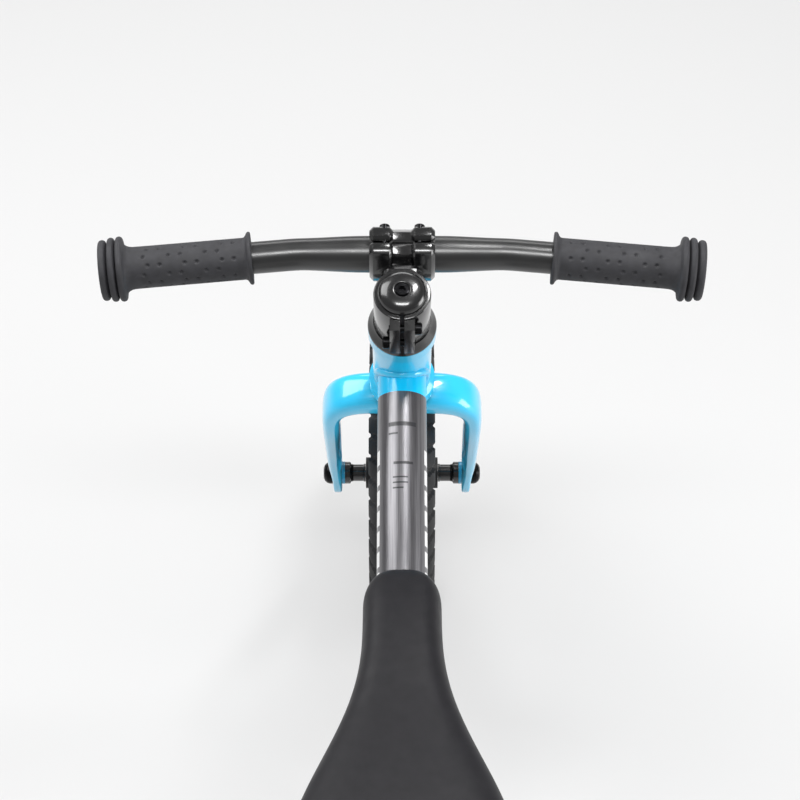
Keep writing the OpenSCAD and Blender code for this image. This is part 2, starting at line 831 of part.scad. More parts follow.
// Solid outside of the tyre's section as [radius from the axle, x], less by skin
module tyre_section(skin) {
    translate([casing_at, 0]) circle(r = casing_r - skin);
    polygon([
        [bead_r + skin * 0.2, -12.6 + skin], [rim_hook_r + 1, -13 + skin],
        [casing_at - 8, -casing_r + 1.6 + skin], [casing_at - 8, casing_r - 1.6 - skin],
        [rim_hook_r + 1, 13 - skin], [bead_r + skin * 0.2, 12.6 - skin]
    ]);
}

module tyre() {
    color("dimgray") rotate([0, 90, 0]) rotate_extrude() difference() {
        tyre_section(0);
        tyre_section(tyre_wall);
        for (side = [0, 1]) mirror([0, side]) {
            square([bead_r + 2, 10]);
            polygon([
                [0, 0], [bead_r, 0], [bead_r, 12.6], [rim_hook_r, 13], [rim_hook_r + 0.1, 13],
                [rim_hook_r + 0.1, casing_r + 1], [0, casing_r + 1]
            ]);
        }
    }
}

module inner_tube() {
    color("black") rotate([0, 90, 0]) rotate_extrude() translate([tube_at, 0]) difference() {
        circle(r = tube_r);
        circle(r = tube_r - 1);
    }
}

// A window between two spokes, as [across, out from the axle]
module wheel_window() {
    half_in = window_in * tan(180 / spoke_count) - spoke_foot / 2;
    half_out = window_out * tan(180 / spoke_count) - spoke_tip / 2;
    polygon([
        [-half_in, window_in], [half_in, window_in], [half_out, window_out],
        [half_out * 0.5, window_out + 2.6], [0, window_out + 3.6],
        [-half_out * 0.5, window_out + 2.6], [-half_out, window_out]
    ]);
}

module wheel_moulding() {
    color("black") difference() {
        x_turned([
            [0, -hub_l / 2], [hub_end_r, -hub_l / 2], [hub_end_r, -hub_l / 2 + 12], [hub_r, -hub_l / 2 + 16],
            [hub_r, -spoke_t / 2], [rim_inner_r, -spoke_t / 2], [rim_inner_r, -9], [bead_r - 2, -rim_half_w],
            [rim_hook_r, -rim_half_w], [rim_hook_r, -13], [bead_r, -12.6], [bead_r, -9], [rim_well_r, -7],
            [rim_well_r, 7], [bead_r, 9], [bead_r, 12.6], [rim_hook_r, 13], [rim_hook_r, rim_half_w],
            [bead_r - 2, rim_half_w], [rim_inner_r, 9], [rim_inner_r, spoke_t / 2], [hub_r, spoke_t / 2],
            [hub_r, hub_l / 2 - 16], [hub_end_r, hub_l / 2 - 12], [hub_end_r, hub_l / 2], [0, hub_l / 2]
        ]);
        for (i = [0 : spoke_count - 1]) rotate([(i + 0.5) * 360 / spoke_count, 0, 0])
            rotate([90, 0, 90]) translate([0, 0, -hub_l / 2]) linear_extrude(hub_l) wheel_window();
        x_rod(-hub_l, hub_l, hub_bore_r);
        x_rod(-hub_l, -hub_l / 2 + bearing_l, bearing_r);
        x_rod(hub_l / 2 - bearing_l, hub_l, bearing_r);
        rotate([valve_turn, 0, 0]) translate([0, 0, rim_inner_r - 10]) cylinder(h = 25, r = valve_r + 0.1);
    }
}

module wheel_bearings() {
    color("silver") for (a = [-hub_l / 2, hub_l / 2 - bearing_l]) difference() {
        x_rod(a, a + bearing_l, bearing_r);
        x_rod(a - 1, a + bearing_l + 1, axle_r + run_clear);
    }
}

module hub_sleeve() {
    half = hub_l / 2 - bearing_l - face_gap;
    color("silver") difference() {
        x_rod(-half, half, hub_sleeve_r);
        x_rod(-half - 1, half + 1, axle_r + run_clear);
    }
}

module valve() {
    tube_inner = tube_at - tube_r;
    color("silver") rotate([valve_turn, 0, 0]) {
        translate([0, 0, valve_tip_r]) cylinder(h = 8, r = valve_r - 0.2);
        translate([0, 0, valve_tip_r + 8]) cylinder(h = tube_inner - valve_tip_r - 8 - 0.1, r = valve_r - 0.6);
    }
}

module axle(half_l) {
    color("silver") difference() {
        x_rod(-half_l, half_l, axle_r);
        for (side = [0, 1]) mirror([side, 0, 0]) x_rod(half_l - 20, half_l + 1, bolt_shank_r);
    }
}

module spool_spacers() {
    a = hub_l / 2 + face_gap;
    b = fork_gap / 2;
    color("black") for (side = [0, 1]) mirror([side, 0, 0]) difference() {
        x_turned([
            [0, a], [7.6, a], [7.6, a + 1.5], [7.1, a + 2], [7.1, b - 7],
            [7.6, b - 5], [9.25, b - 4], [9.25, b], [0, b]
        ]);
        x_rod(a - 1, b + 1, axle_r);
    }
}

// Domed axle bolts whose heads seat on the outer faces at x = face
module axle_bolts(face) {
    color("black") for (side = [0, 1]) mirror([side, 0, 0]) difference() {
        x_turned([
            [0, face - 17], [bolt_shank_r, face - 17], [bolt_shank_r, face], [bolt_head_r, face],
            [bolt_head_r, face + bolt_head_h * 0.35], [bolt_head_r - 0.6, face + bolt_head_h * 0.62],
            [bolt_head_r - 2.2, face + bolt_head_h * 0.86], [bolt_head_r - 4.4, face + bolt_head_h],
            [0, face + bolt_head_h]
        ]);
        translate([face + bolt_head_h, 0, 0]) rotate([0, 90, 0]) hex_socket(5, 4);
    }
}

module front_tyre() {
    at_front_axle() tyre();
}

module front_inner_tube() {
    at_front_axle() inner_tube();
}

module front_wheel() {
    at_front_axle() wheel_moulding();
}

module front_bearings() {
    at_front_axle() wheel_bearings();
}

module front_hub_sleeve() {
    at_front_axle() hub_sleeve();
}

module front_valve() {
    at_front_axle() valve();
}

module front_axle() {
    at_front_axle() axle(leg_out - 0.5);
}

module front_spacers() {
    at_front_axle() spool_spacers();
}

module front_axle_bolts() {
    at_front_axle() axle_bolts(leg_out);
}

module rear_tyre() {
    at_rear_axle() tyre();
}

module rear_inner_tube() {
    at_rear_axle() inner_tube();
}

module rear_wheel() {
    at_rear_axle() wheel_moulding();
}

module rear_bearings() {
    at_rear_axle() wheel_bearings();
}

module rear_hub_sleeve() {
    at_rear_axle() hub_sleeve();
}

module rear_valve() {
    at_rear_axle() valve();
}

module rear_axle() {
    at_rear_axle() axle(fork_gap / 2 + rear_dropout_t - 0.5);
}

module rear_spacers() {
    at_rear_axle() spool_spacers();
}

module rear_axle_bolts() {
    at_rear_axle() axle_bolts(fork_gap / 2 + rear_dropout_t);
}

// ---- saddle -------------------------------------------------------------

module seat_post() {
    color("silver") {
        difference() {
            on_seat_tube() difference() {
                translate([0, 0, seat_up - post_in]) cylinder(h = post_in + post_out, r = post_r);
                translate([0, 0, seat_up - post_in - 1]) cylinder(h = post_in + post_out - 10, r = post_r - 2.5);
            }
            at_saddle() x_rod(-40, 40, head_barrel_r);
            at_saddle() translate([-40, -40, -head_barrel_r + 4]) cube([80, 80, 40]);
        }
        at_saddle() x_rod(-head_barrel_w / 2, head_barrel_w / 2, head_barrel_r);
    }
}

module clamp_block(z0, z1) {
    translate([-rail_x - 6, -clamp_half_y, z0]) cube([2 * rail_x + 12, 2 * clamp_half_y, z1 - z0]);
}

module rail_grooves() {
    for (x = [-rail_x, rail_x]) translate([x, -60, rail_z]) rotate([-90, 0, 0])
        cylinder(h = 120, r = rail_r);
}

module clamp_bolt_holes() {
    for (y = [-clamp_bolt_y, clamp_bolt_y]) translate([0, y, -20]) cylinder(h = 60, r = pinch_bolt_r);
}

module saddle_clamp_lower() {
    color("gray") at_saddle() difference() {
        clamp_block(3, rail_z - 0.5);
        x_rod(-60, 60, head_barrel_r);
        rail_grooves();
        clamp_bolt_holes();
    }
}

module saddle_clamp_upper() {
    color("gray") at_saddle() difference() {
        clamp_block(rail_z + 0.5, rail_z + 6);
        rail_grooves();
        clamp_bolt_holes();
    }
}

module saddle_clamp_bolts() {
    color("dimgray") at_saddle() for (y = [-clamp_bolt_y, clamp_bolt_y])
        translate([0, y, 3]) rotate([180, 0, 0]) cap_screw(pinch_bolt_r, rail_z + 2.5, 4.2, 4);
}

module saddle_rails() {
    front = nose_reach - 48;
    back = nose_reach - saddle_l + 34;
    rise = shell_z - rail_z;
    color("silver") at_saddle() for (x = [-rail_x, rail_x]) {
        translate([x, back, rail_z]) rotate([-90, 0, 0]) cylinder(h = front - back, r = rail_r);
        for (y = [back, front]) {
            translate([x, y, rail_z]) cylinder(h = rise, r = rail_r);
            translate([x, y, rail_z]) sphere(rail_r);
        }
    }
}

// Half width of the saddle at a distance d back from its nose
flare_from = 35;
flare_to = saddle_l - 11;
nose_round = 30;
tail_round = 34;
function smooth(s) = s <= 0 ? 0 : s >= 1 ? 1 : 3 * s * s - 2 * s * s * s;
function end_round(d, r) = d >= r ? 1 : sqrt(max(0, 1 - pow((r - d) / r, 2.4)));
function saddle_half(d) = (saddle_nose_w
    + (saddle_tail_w - saddle_nose_w) * pow(smooth((d - flare_from) / (flare_to - flare_from)), 1.6))
    * end_round(d, nose_round) * end_round(saddle_l - d, tail_round);
function saddle_crown(d) = pad_h - 7 * pow(max(0, 1 - d / 90), 2)
    - 3 * pow(sin(180 * max(0, min(1, (d - 20) / (saddle_l - 50)))), 2);

shell_inset = 3;
saddle_steps = 28;
function saddle_d(i) = saddle_l * (1 - cos(180 * i / saddle_steps)) / 2;

module saddle_shell() {
    side = [for (i = [1 : saddle_steps - 1]) let (d = saddle_d(i))
        [max(2, saddle_half(d) - shell_inset), nose_reach - d]];
    other = [for (i = [saddle_steps - 1 : -1 : 1]) let (d = saddle_d(i))
        [-max(2, saddle_half(d) - shell_inset), nose_reach - d]];
    color("black") at_saddle() translate([0, 0, shell_z]) linear_extrude(shell_t)
        polygon(concat(side, other));
}

// The padding: rings across the saddle, each a flat base under a crowned top
ring_n = 20;
function ring(d) = let (w = max(1, saddle_half(d)), h = saddle_crown(d) * max(0.35,
    min(end_round(d, 16), end_round(saddle_l - d, 20))))
    [for (k = [0 : ring_n - 1]) let (a = 180 * k / (ring_n - 1))
        [w * sign(cos(a)) * pow(abs(cos(a)), 0.55), nose_reach - d, pad_z + h * pow(sin(a), 0.8)]];

module saddle_pad() {
    rings = [for (i = [1 : saddle_steps - 1]) ring(saddle_d(i))];
    count = len(rings);
    points = [for (r = rings) for (p = r) p];
    sides = [for (i = [0 : count - 2]) for (k = [0 : ring_n - 1]) let (j = (k + 1) % ring_n)
        [i * ring_n + k, i * ring_n + j, (i + 1) * ring_n + j, (i + 1) * ring_n + k]];
    first = [for (k = [ring_n - 1 : -1 : 0]) k];
    last = [for (k = [0 : ring_n - 1]) (count - 1) * ring_n + k];
    color("darkslategray") at_saddle() polyhedron(points, concat(sides, [first, last]));
}

head_tube();
main_tube();
seat_tube();
upper_yoke();
lower_yoke();
upper_stay_left();
upper_stay_right();
lower_stay_left();
lower_stay_right();
rear_dropout_left();
rear_dropout_right();
upper_head_bearing();
lower_head_bearing();
seat_collar();
collar_skewer();
rear_axle();
rear_spacers();
rear_axle_bolts();
fork_crown();
fork_leg_left();
fork_leg_right();
steerer_tube();
crown_race();
headset_cover();
compression_ring();
star_nut();
top_cap();
top_cap_bolt();
stem_body();
stem_faceplate();
faceplate_bolts();
pinch_bolts();
handlebar();
grip_left();
grip_right();
front_axle();
front_spacers();
front_axle_bolts();
front_tyre();
front_inner_tube();
front_wheel();
front_bearings();
front_hub_sleeve();
front_valve();
rear_tyre();
rear_inner_tube();
rear_wheel();
rear_bearings();
rear_hub_sleeve();
rear_valve();
seat_post();
saddle_clamp_lower();
saddle_clamp_upper();
saddle_clamp_bolts();
saddle_rails();
saddle_shell();
saddle_pad();
quick_release_lever();
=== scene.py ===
import json
import math

import bpy
from bpy.props import FloatProperty, FloatVectorProperty, IntProperty, PointerProperty
from mathutils import Matrix, Vector


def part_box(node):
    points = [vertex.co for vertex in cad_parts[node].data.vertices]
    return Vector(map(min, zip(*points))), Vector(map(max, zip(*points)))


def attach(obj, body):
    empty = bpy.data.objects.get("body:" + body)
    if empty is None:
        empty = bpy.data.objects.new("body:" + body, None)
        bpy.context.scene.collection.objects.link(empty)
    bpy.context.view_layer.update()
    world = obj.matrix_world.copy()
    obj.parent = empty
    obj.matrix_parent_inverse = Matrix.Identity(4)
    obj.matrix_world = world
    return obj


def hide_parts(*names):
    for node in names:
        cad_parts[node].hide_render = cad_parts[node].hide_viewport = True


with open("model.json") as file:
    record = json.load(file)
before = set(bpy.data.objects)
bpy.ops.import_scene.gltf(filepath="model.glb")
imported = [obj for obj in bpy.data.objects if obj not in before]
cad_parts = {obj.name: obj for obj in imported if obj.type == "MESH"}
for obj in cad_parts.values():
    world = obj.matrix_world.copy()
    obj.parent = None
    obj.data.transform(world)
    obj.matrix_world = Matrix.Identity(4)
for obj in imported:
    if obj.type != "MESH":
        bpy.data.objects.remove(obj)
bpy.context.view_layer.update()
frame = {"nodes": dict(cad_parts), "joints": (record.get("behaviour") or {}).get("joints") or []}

bl_info = {
    "name": "Balance bike",
    "version": (1, 0, 0),
    "blender": (4, 5, 0),
    "location": "View3D > Sidebar > Balance bike",
    "description": "Builds the finished parts of a child's balance bike around its frame",
    "category": "Mesh",
}

MM = 0.001
TILT = math.radians(20)              # the steering axis and the seat tube lean back by this
# The steering frame starts at the stem's top face. These are in mm.
STEM_RISE = 94                       # its height over the steering joint, along the axis
AXLE_DROP = -350.0
FORK_RAKE = 13.7
BAR_AT = (41.0, -19.5)               # forward and up
STEERER_BORE = 14.35                 # radius
# Starts of the tubes and of the saddle in the bike's frame, in mm
TUBE_AT = (0, 181.621, 378.737)
TUBE_TURN = math.radians(110.5)
SEAT_AT = (0, -118.114, 266.671)
SADDLE_AT = (0, -138.977, 323.991)


def joint(name):
    """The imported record's joint of that name."""
    return next(j for j in frame["joints"] if j["name"] == name)


def middle(node):
    """The middle of a CAD node's box, in metres."""
    low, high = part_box(node)
    return (Vector(low) + Vector(high)) / 2


# ---- places on the bike ---------------------------------------------------

def steering_place():
    """+Z up the steering axis and +Y forward, from the stem's top face."""
    up = Vector((0, -math.sin(TILT), math.cos(TILT)))
    top = Vector(joint("steering_turn")["pos_m"]) + up * STEM_RISE * MM
    return Matrix.Translation(top) @ Matrix.Rotation(TILT, 4, "X")


def bar_place():
    """+X along the handlebar, from the middle of its clamp."""
    return steering_place() @ Matrix.Translation(Vector((0, BAR_AT[0], BAR_AT[1])) * MM)


def tube_place():
    """+Z back along the main tube, from the steering axis, +Y up over the tube."""
    return Matrix.Translation(Vector(TUBE_AT) * MM) @ Matrix.Rotation(TUBE_TURN, 4, "X")


def seat_place():
    """+Z up the seat tube, from where it crosses the main tube."""
    return Matrix.Translation(Vector(SEAT_AT) * MM) @ Matrix.Rotation(TILT, 4, "X")


def saddle_place():
    """A level frame on the seat post's head."""
    return Matrix.Translation(Vector(SADDLE_AT) * MM)


def axle_place(wheel):
    """+Z along the axle to the right, from the middle of a wheel."""
    return Matrix.Translation(middle(wheel)) @ Matrix.Rotation(math.radians(90), 4, "Y")


# ---- working with operators -----------------------------------------------

def deselect():
    """Leaves edit mode with nothing selected."""
    if bpy.context.object and bpy.context.object.mode != "OBJECT":
        bpy.ops.object.mode_set(mode="OBJECT")
    bpy.ops.object.select_all(action="DESELECT")


def pick(obj):
    """Selects one object and makes it the active one."""
    deselect()
    obj.select_set(True)
    bpy.context.view_layer.objects.active = obj
    return obj


def edit(obj):
    """Opens an object in edit mode with all of it selected."""
    pick(obj)
    bpy.ops.object.mode_set(mode="EDIT")
    bpy.ops.mesh.select_all(action="SELECT")


def chain(name, points):
    """A chain of edges through points in mm, left open in edit mode with all of it selected."""
    deselect()
    bpy.ops.mesh.primitive_plane_add(size=MM, location=(0, 0, 0))
    obj = bpy.context.object
    obj.name = obj.data.name = name
    bpy.ops.object.mode_set(mode="EDIT")
    bpy.ops.mesh.select_all(action="SELECT")
    bpy.ops.mesh.merge(type="CENTER")
    at = [Vector(p) * MM for p in points]
    bpy.ops.transform.translate(value=at[0])
    for a, b in zip(at, at[1:]):
        bpy.ops.mesh.extrude_vertices_move(TRANSFORM_OT_translate={"value": b - a})
    bpy.ops.mesh.select_all(action="SELECT")
    return obj


def tidy_mesh(obj, gap=0.004):
    """Merges doubles and points the faces outwards."""
    edit(obj)
    bpy.ops.mesh.remove_doubles(threshold=gap * MM)
    bpy.ops.mesh.normals_make_consistent(inside=False)
    bpy.ops.object.mode_set(mode="OBJECT")
    return obj


def spun(name, profile, steps=96, closed=False):
    """A turned shape about Z from [radius, height] points in mm."""
    points = [(r, 0, z) for r, z in profile]
    if closed:
        points.append(points[0])
    obj = chain(name, points)
    bpy.ops.mesh.spin(steps=steps, angle=math.tau, center=(0, 0, 0), axis=(0, 0, 1))
    return tidy_mesh(obj)


def prism(name, outline, low, high):
    """An outline of (across, up) points in mm, drawn in XZ and extruded along Y from low to high."""
    obj = chain(name, [(x, low, z) for x, z in outline])
    bpy.ops.mesh.edge_face_add()
    bpy.ops.mesh.select_all(action="SELECT")
    length = (high - low) * MM
    bpy.ops.mesh.extrude_region_move(TRANSFORM_OT_translate={"value": (0, length, 0)})
    return tidy_mesh(obj)


def put(obj, place):
    """Moves an object to a place and leaves that in its mesh."""
    pick(obj)
    obj.matrix_world = place @ obj.matrix_world
    bpy.ops.object.transform_apply(location=True, rotation=True, scale=True)
    return obj


def turned(obj, degrees, axis):
    """Turns an object about an axis through the origin."""
    return put(obj, Matrix.Rotation(math.radians(degrees), 4, axis))


def shifted(obj, x, y, z):
    """Moves an object by mm."""
    return put(obj, Matrix.Translation(Vector((x, y, z)) * MM))


def modified(obj, kind, **settings):
    """Adds a modifier, sets it and applies it."""
    pick(obj)
    mod = obj.modifiers.new(kind.title(), kind)
    for key, value in settings.items():
        setattr(mod, key, value)
    bpy.ops.object.modifier_apply(modifier=mod.name)
    return obj


def combined(obj, other, how):
    """Joins, cuts or keeps what two solids share, and removes the second."""
    modified(obj, "BOOLEAN", object=other, operation=how, solver="EXACT")
    bpy.data.objects.remove(other)
    return obj


def cut(obj, other):
    return combined(obj, other, "DIFFERENCE")


def fused(obj, *others):
    for other in others:
        combined(obj, other, "UNION")
    return obj


def rounded(obj, width, segments=3, degrees=30):
    """Rounds every edge sharper than an angle, by a width in mm."""
    return modified(
        obj, "BEVEL", width=width * MM, segments=segments, limit_method="ANGLE",
        angle_limit=math.radians(degrees), use_clamp_overlap=True, harden_normals=False,
    )


def copied(obj, name):
    """A copy with its own mesh."""
    pick(obj)
    bpy.ops.object.duplicate(linked=False)
    new = bpy.context.object
    new.name = new.data.name = name
    return new


def mirrored(obj, name):
    """A mirror image across the bike's middle plane."""
    new = put(copied(obj, name), Matrix.Scale(-1, 4, Vector((1, 0, 0))))
    return tidy_mesh(new)


def rod(name, radius, low, high, steps=48):
    """A plain shaft along Z, in mm, to cut or join with."""
    return spun(name, [(0, low), (radius, low), (radius, high), (0, high)], steps)


def rounded_cap(radius, low, high, edge):
    """A [radius, height] profile of a disc with both its edges rounded."""
    turns = [math.radians(d) for d in (0, 30, 60, 90)]
    arc = [(edge * math.sin(a), edge * (1 - math.cos(a))) for a in turns]
    return (
        [(0, low)] + [(radius - edge + s, low + c) for s, c in arc]
        + [(radius - edge + s, high - c) for s, c in reversed(arc)] + [(0, high)]
    )


def pipe(name, points, radii, sides=12, cyclic=False):
    """A round bar through points in mm whose radius changes along it."""
    deselect()
    curve = bpy.data.curves.new(name, "CURVE")
    curve.dimensions = "3D"
    curve.bevel_depth = MM
    curve.bevel_resolution = sides
    curve.use_fill_caps = not cyclic
    spline = curve.splines.new("POLY")
    spline.points.add(len(points) - 1)
    for point, at, r in zip(spline.points, points, radii):
        point.co = (*(Vector(at) * MM), 1)
        point.radius = r
    spline.use_cyclic_u = cyclic
    obj = bpy.data.objects.new(name, curve)
    bpy.context.collection.objects.link(obj)
    pick(obj)
    bpy.ops.object.convert(target="MESH")
    return tidy_mesh(bpy.context.object)


def ring_faces(rings, count):
    """Four-sided faces between rings of points, where each ring closes on itself."""
    faces = []
    for i in range(rings - 1):
        here, there = i * count, (i + 1) * count
        faces += [
            (here + k, here + (k + 1) % count, there + (k + 1) % count, there + k)
            for k in range(count)
        ]
    return faces


def finished(obj, body, finish, replaced=(), degrees=35):
    """Shades a piece, gives it its material, and ties it to a body of the bike."""
    pick(obj)
    bpy.ops.object.shade_smooth_by_angle(angle=math.radians(degrees))
    obj.data.materials.clear()
    obj.data.materials.append(finish)
    if replaced:
        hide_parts(*replaced)
    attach(obj, body)
    return obj


def coat(finish, *nodes):
    """Gives CAD nodes a finish."""
    for name in nodes:
        mesh = frame["nodes"][name].data
        mesh.materials.clear()
        mesh.materials.append(finish)


# ---- materials ------------------------------------------------------------

def linear(hex_colour):
    """An sRGB hex colour as linear red, green, blue and alpha."""
    parts = [int(hex_colour[i:i + 2], 16) / 255 for i in (0, 2, 4)]
    return [p / 12.92 if p <= 0.04045 else ((p + 0.055) / 1.055) ** 2.4 for p in parts] + [1.0]


def add(tree, kind, inputs=None, **settings):
    """Adds a shader node with its settings, and its inputs linked or set."""
    node = tree.nodes.new("ShaderNode" + kind)
    for key, value in settings.items():
        setattr(node, key, value)
    for key, value in (inputs or {}).items():
        if isinstance(value, bpy.types.NodeSocket):
            tree.links.new(value, node.inputs[key])
        else:
            node.inputs[key].default_value = value
    return node


def finish_base(name, **sockets):
    """A material with a Principled shader, its tree, and the object coordinates in it."""
    if name in bpy.data.materials:
        return bpy.data.materials[name], None, None, None
    material = bpy.data.materials.new(name)
    material.use_nodes = True
    tree = material.node_tree
    shader = tree.nodes["Principled BSDF"]
    for key, value in sockets.items():
        shader.inputs[key.replace("_", " ")].default_value = value
    return material, tree, shader, add(tree, "TexCoord").outputs["Object"]


def mottled(tree, coordinate, low, high, size, spread=(0.3, 0.7)):
    """A number that wanders between low and high in patches of a size in mm."""
    noise = add(tree, "TexNoise", {"Vector": coordinate, "Scale": 1 / (size * MM), "Detail": 4.0})
    level = add(tree, "MapRange", {
        "Value": noise.outputs["Fac"], "From Min": spread[0], "From Max": spread[1],
        "To Min": low, "To Max": high,
    })
    return level.outputs["Result"]


def blue_enamel():
    """Gloss enamel baked over primer: an even colour under a wet shine, with faint orange peel."""
    material, tree, shader, at = finish_base(
        "Baked_gloss_enamel", Roughness=0.28, Coat_Weight=1.0, Coat_Roughness=0.04, IOR=1.5,
    )
    if tree:
        shade = mottled(tree, at, 0, 1, 40)
        ends = {0: shade, 6: linear("1CC2F2"), 7: linear("30CEFA")}
        colour = add(tree, "Mix", ends, data_type="RGBA")
        tree.links.new(colour.outputs[2], shader.inputs["Base Color"])
        peel = add(tree, "TexNoise", {"Vector": at, "Scale": 1 / (3.5 * MM), "Detail": 1.0})
        height = {"Height": peel.outputs["Fac"], "Distance": 0.01 * MM, "Strength": 0.5}
        tree.links.new(add(tree, "Bump", height).outputs["Normal"], shader.inputs["Normal"])
    return material


def along(tree, at, place):
    """Object coordinates turned into a place's own frame, in metres."""
    loc, rot, _ = place.inverted().decompose()
    inputs = {"Vector": at, "Rotation": rot.to_euler("XYZ"), "Location": loc}
    return add(tree, "Mapping", inputs, vector_type="POINT").outputs["Vector"]


def brushed_aluminium(name, place, low="5F5E61", high="848386"):
    """Drawn aluminium under clear lacquer: long fine scratches in a soft grey metal."""
    material, tree, shader, at = finish_base(
        name, Metallic=1.0, Roughness=0.3, Coat_Weight=0.35, Coat_Roughness=0.12,
    )
    if tree:
        here = along(tree, at, place)
        drawn = add(tree, "Mapping", {"Vector": here, "Scale": (1.0, 1.0, 0.012)})
        # Brush lines are near 0.1 mm apart; they are drawn at 0.5 mm so that they show
        noise = {"Vector": drawn.outputs["Vector"], "Scale": 1 / (0.5 * MM), "Detail": 3.0}
        lines = add(tree, "TexNoise", noise).outputs["Fac"]
        streak = add(tree, "MapRange", {"Value": lines, "From Min": 0.3, "From Max": 0.7})
        ends = {0: streak.outputs["Result"], 6: linear(low), 7: linear(high)}
        colour = add(tree, "Mix", ends, data_type="RGBA")
        tree.links.new(colour.outputs[2], shader.inputs["Base Color"])
        rough = add(tree, "MapRange", {"Value": lines, "To Min": 0.24, "To Max": 0.42})
        tree.links.new(rough.outputs["Result"], shader.inputs["Roughness"])
        bump = add(tree, "Bump", {"Height": lines, "Distance": 0.012 * MM, "Strength": 0.6})
        tree.links.new(bump.outputs["Normal"], shader.inputs["Normal"])
    return material


ROUGH_PATCH = 2.3   # roughness wanders in patches this many times the colour's


def grained(name, first, second, size, depth, roughness, patch=6, **sockets):
    """A plain finish with two close colours and a fine grain, sizes in mm."""
    material, tree, shader, at = finish_base(name, **sockets)
    if tree:
        ends = {0: mottled(tree, at, 0, 1, patch), 6: linear(first), 7: linear(second)}
        colour = add(tree, "Mix", ends, data_type="RGBA")
        tree.links.new(colour.outputs[2], shader.inputs["Base Color"])
        rough = mottled(tree, at, roughness[0], roughness[1], patch * ROUGH_PATCH)
        tree.links.new(rough, shader.inputs["Roughness"])
        grain = add(tree, "TexNoise", {"Vector": at, "Scale": 1 / (size * MM), "Detail": 3.0})
        height = {"Height": grain.outputs["Fac"], "Distance": depth * MM, "Strength": 0.7}
        tree.links.new(add(tree, "Bump", height).outputs["Normal"], shader.inputs["Normal"])
    return material


def satin_black():
    """Satin black powder coat: near black, with a broad soft sheen and a faint grain."""
    return grained(
        "Satin_powder_coat", "070708", "0A0A0B", 0.9, 0.02, (0.28, 0.34), Specular_IOR_Level=1.0,
    )


def gloss_black():
    """Gloss black paint on forged alloy: black that shows only its reflections."""
    return grained(
        "Gloss_black_enamel", "050506", "09090A", 4, 0.006, (0.2, 0.28), 20,
        Coat_Weight=0.8, Coat_Roughness=0.1,
    )


def black_oxide():
    """Black oxide on hardened steel screws: dark, slightly oily metal with a hard highlight."""
    return grained("Black_oxide_steel", "101011", "1B1B1D", 0.6, 0.008, (0.22, 0.34), 3, Metallic=0.85)


def grip_rubber():
    """Moulded thermoplastic rubber: charcoal, matte and dry, with a fine spark-eroded texture."""
    return grained("Moulded_grip_rubber", "2D2D30", "353539", 0.5, 0.05, (0.62, 0.76), 5, IOR=1.5)


def tyre_rubber():
    """Vulcanised carbon-black rubber: very dark, dull and slightly dusty on its edges."""
    return grained("Vulcanised_tyre_rubber", "121213", "19191B", 0.8, 0.05, (0.6, 0.8), 8, IOR=1.5)


def saddle_cover():
    """Embossed vinyl over moulded foam: charcoal with a fine leather grain and a soft sheen."""
    material, tree, shader, at = finish_base("Embossed_vinyl", Roughness=0.46, Specular_IOR_Level=0.3)
    if tree:
        shade = mottled(tree, at, 0, 1, 9)
        ends = {0: shade, 6: linear("141317"), 7: linear("1A191D")}
        colour = add(tree, "Mix", ends, data_type="RGBA")
        tree.links.new(colour.outputs[2], shader.inputs["Base Color"])
        tree.links.new(mottled(tree, at, 0.46, 0.56, 14), shader.inputs["Roughness"])
        # Grain cells of this vinyl are about 0.6 mm; they are drawn at 1.1 mm so that they show
        cells = add(tree, "TexVoronoi", {"Vector": at, "Scale": 1 / (1.1 * MM)}, feature="SMOOTH_F1")
        height = {"Height": cells.outputs["Distance"], "Distance": 0.04 * MM, "Strength": 0.5}
        tree.links.new(add(tree, "Bump", height).outputs["Normal"], shader.inputs["Normal"])
    return material


def nylon():
    """Glass-filled nylon, injection moulded: black with a faint grey bloom and a fine matte skin."""
    return grained("Moulded_nylon", "101011", "161618", 0.7, 0.03, (0.42, 0.55), 10, IOR=1.53)


def bright_steel(name="Ground_bearing_steel", low="A6A6A8", high="BDBDBF"):
    """Ground and polished steel: bright with fine lines from the wheel."""
    return grained(name, low, high, 0.5, 0.004, (0.16, 0.26), 3, Metallic=1.0)


# ---- settings a user may change --------------------------------------------

class BikeSizes(bpy.types.PropertyGroup):
    tread_blocks: IntProperty(
        name="Tread blocks", description="Blocks round each edge of a tyre", default=48, min=12,
    )
    dimple_depth: FloatProperty(
        name="Dimple depth", description="Depth of a grip's dimples", default=0.0013, unit="LENGTH",
    )
    weld_radius: FloatProperty(
        name="Weld radius", description="Half width of a weld bead", default=0.0028, unit="LENGTH",
    )
    floor_size: FloatProperty(
        name="Floor size", description="Width of the floor", default=30.0, unit="LENGTH",
    )


class BikeColours(bpy.types.PropertyGroup):
    floor: FloatVectorProperty(
        name="Floor", description="Colour of the studio floor", subtype="COLOR", size=4,
        default=linear("F3F3F3"),
    )


# ---- saddle ---------------------------------------------------------------

SADDLE_L, NOSE_W, TAIL_W, PAD_H, NOSE_REACH, PAD_Z = 226.0, 26.0, 69.0, 24.0, 145.0, 22.0
FLARE_FROM, FLARE_L = 35, 180           # where the nose starts to widen, and over what length
NOSE_ROUND, TAIL_ROUND = 30, 34         # how far from each end the plan is rounded
UNDERSIDE = (-0.97, -0.9, -0.6, -0.3, 0, 0.3, 0.6, 0.9, 0.97)   # shares of the half width


def smooth(s):
    s = min(1.0, max(0.0, s))
    return 3 * s * s - 2 * s ** 3


def end_round(d, r):
    return 1.0 if d >= r else math.sqrt(max(0.0, 1 - ((r - d) / r) ** 2.4))


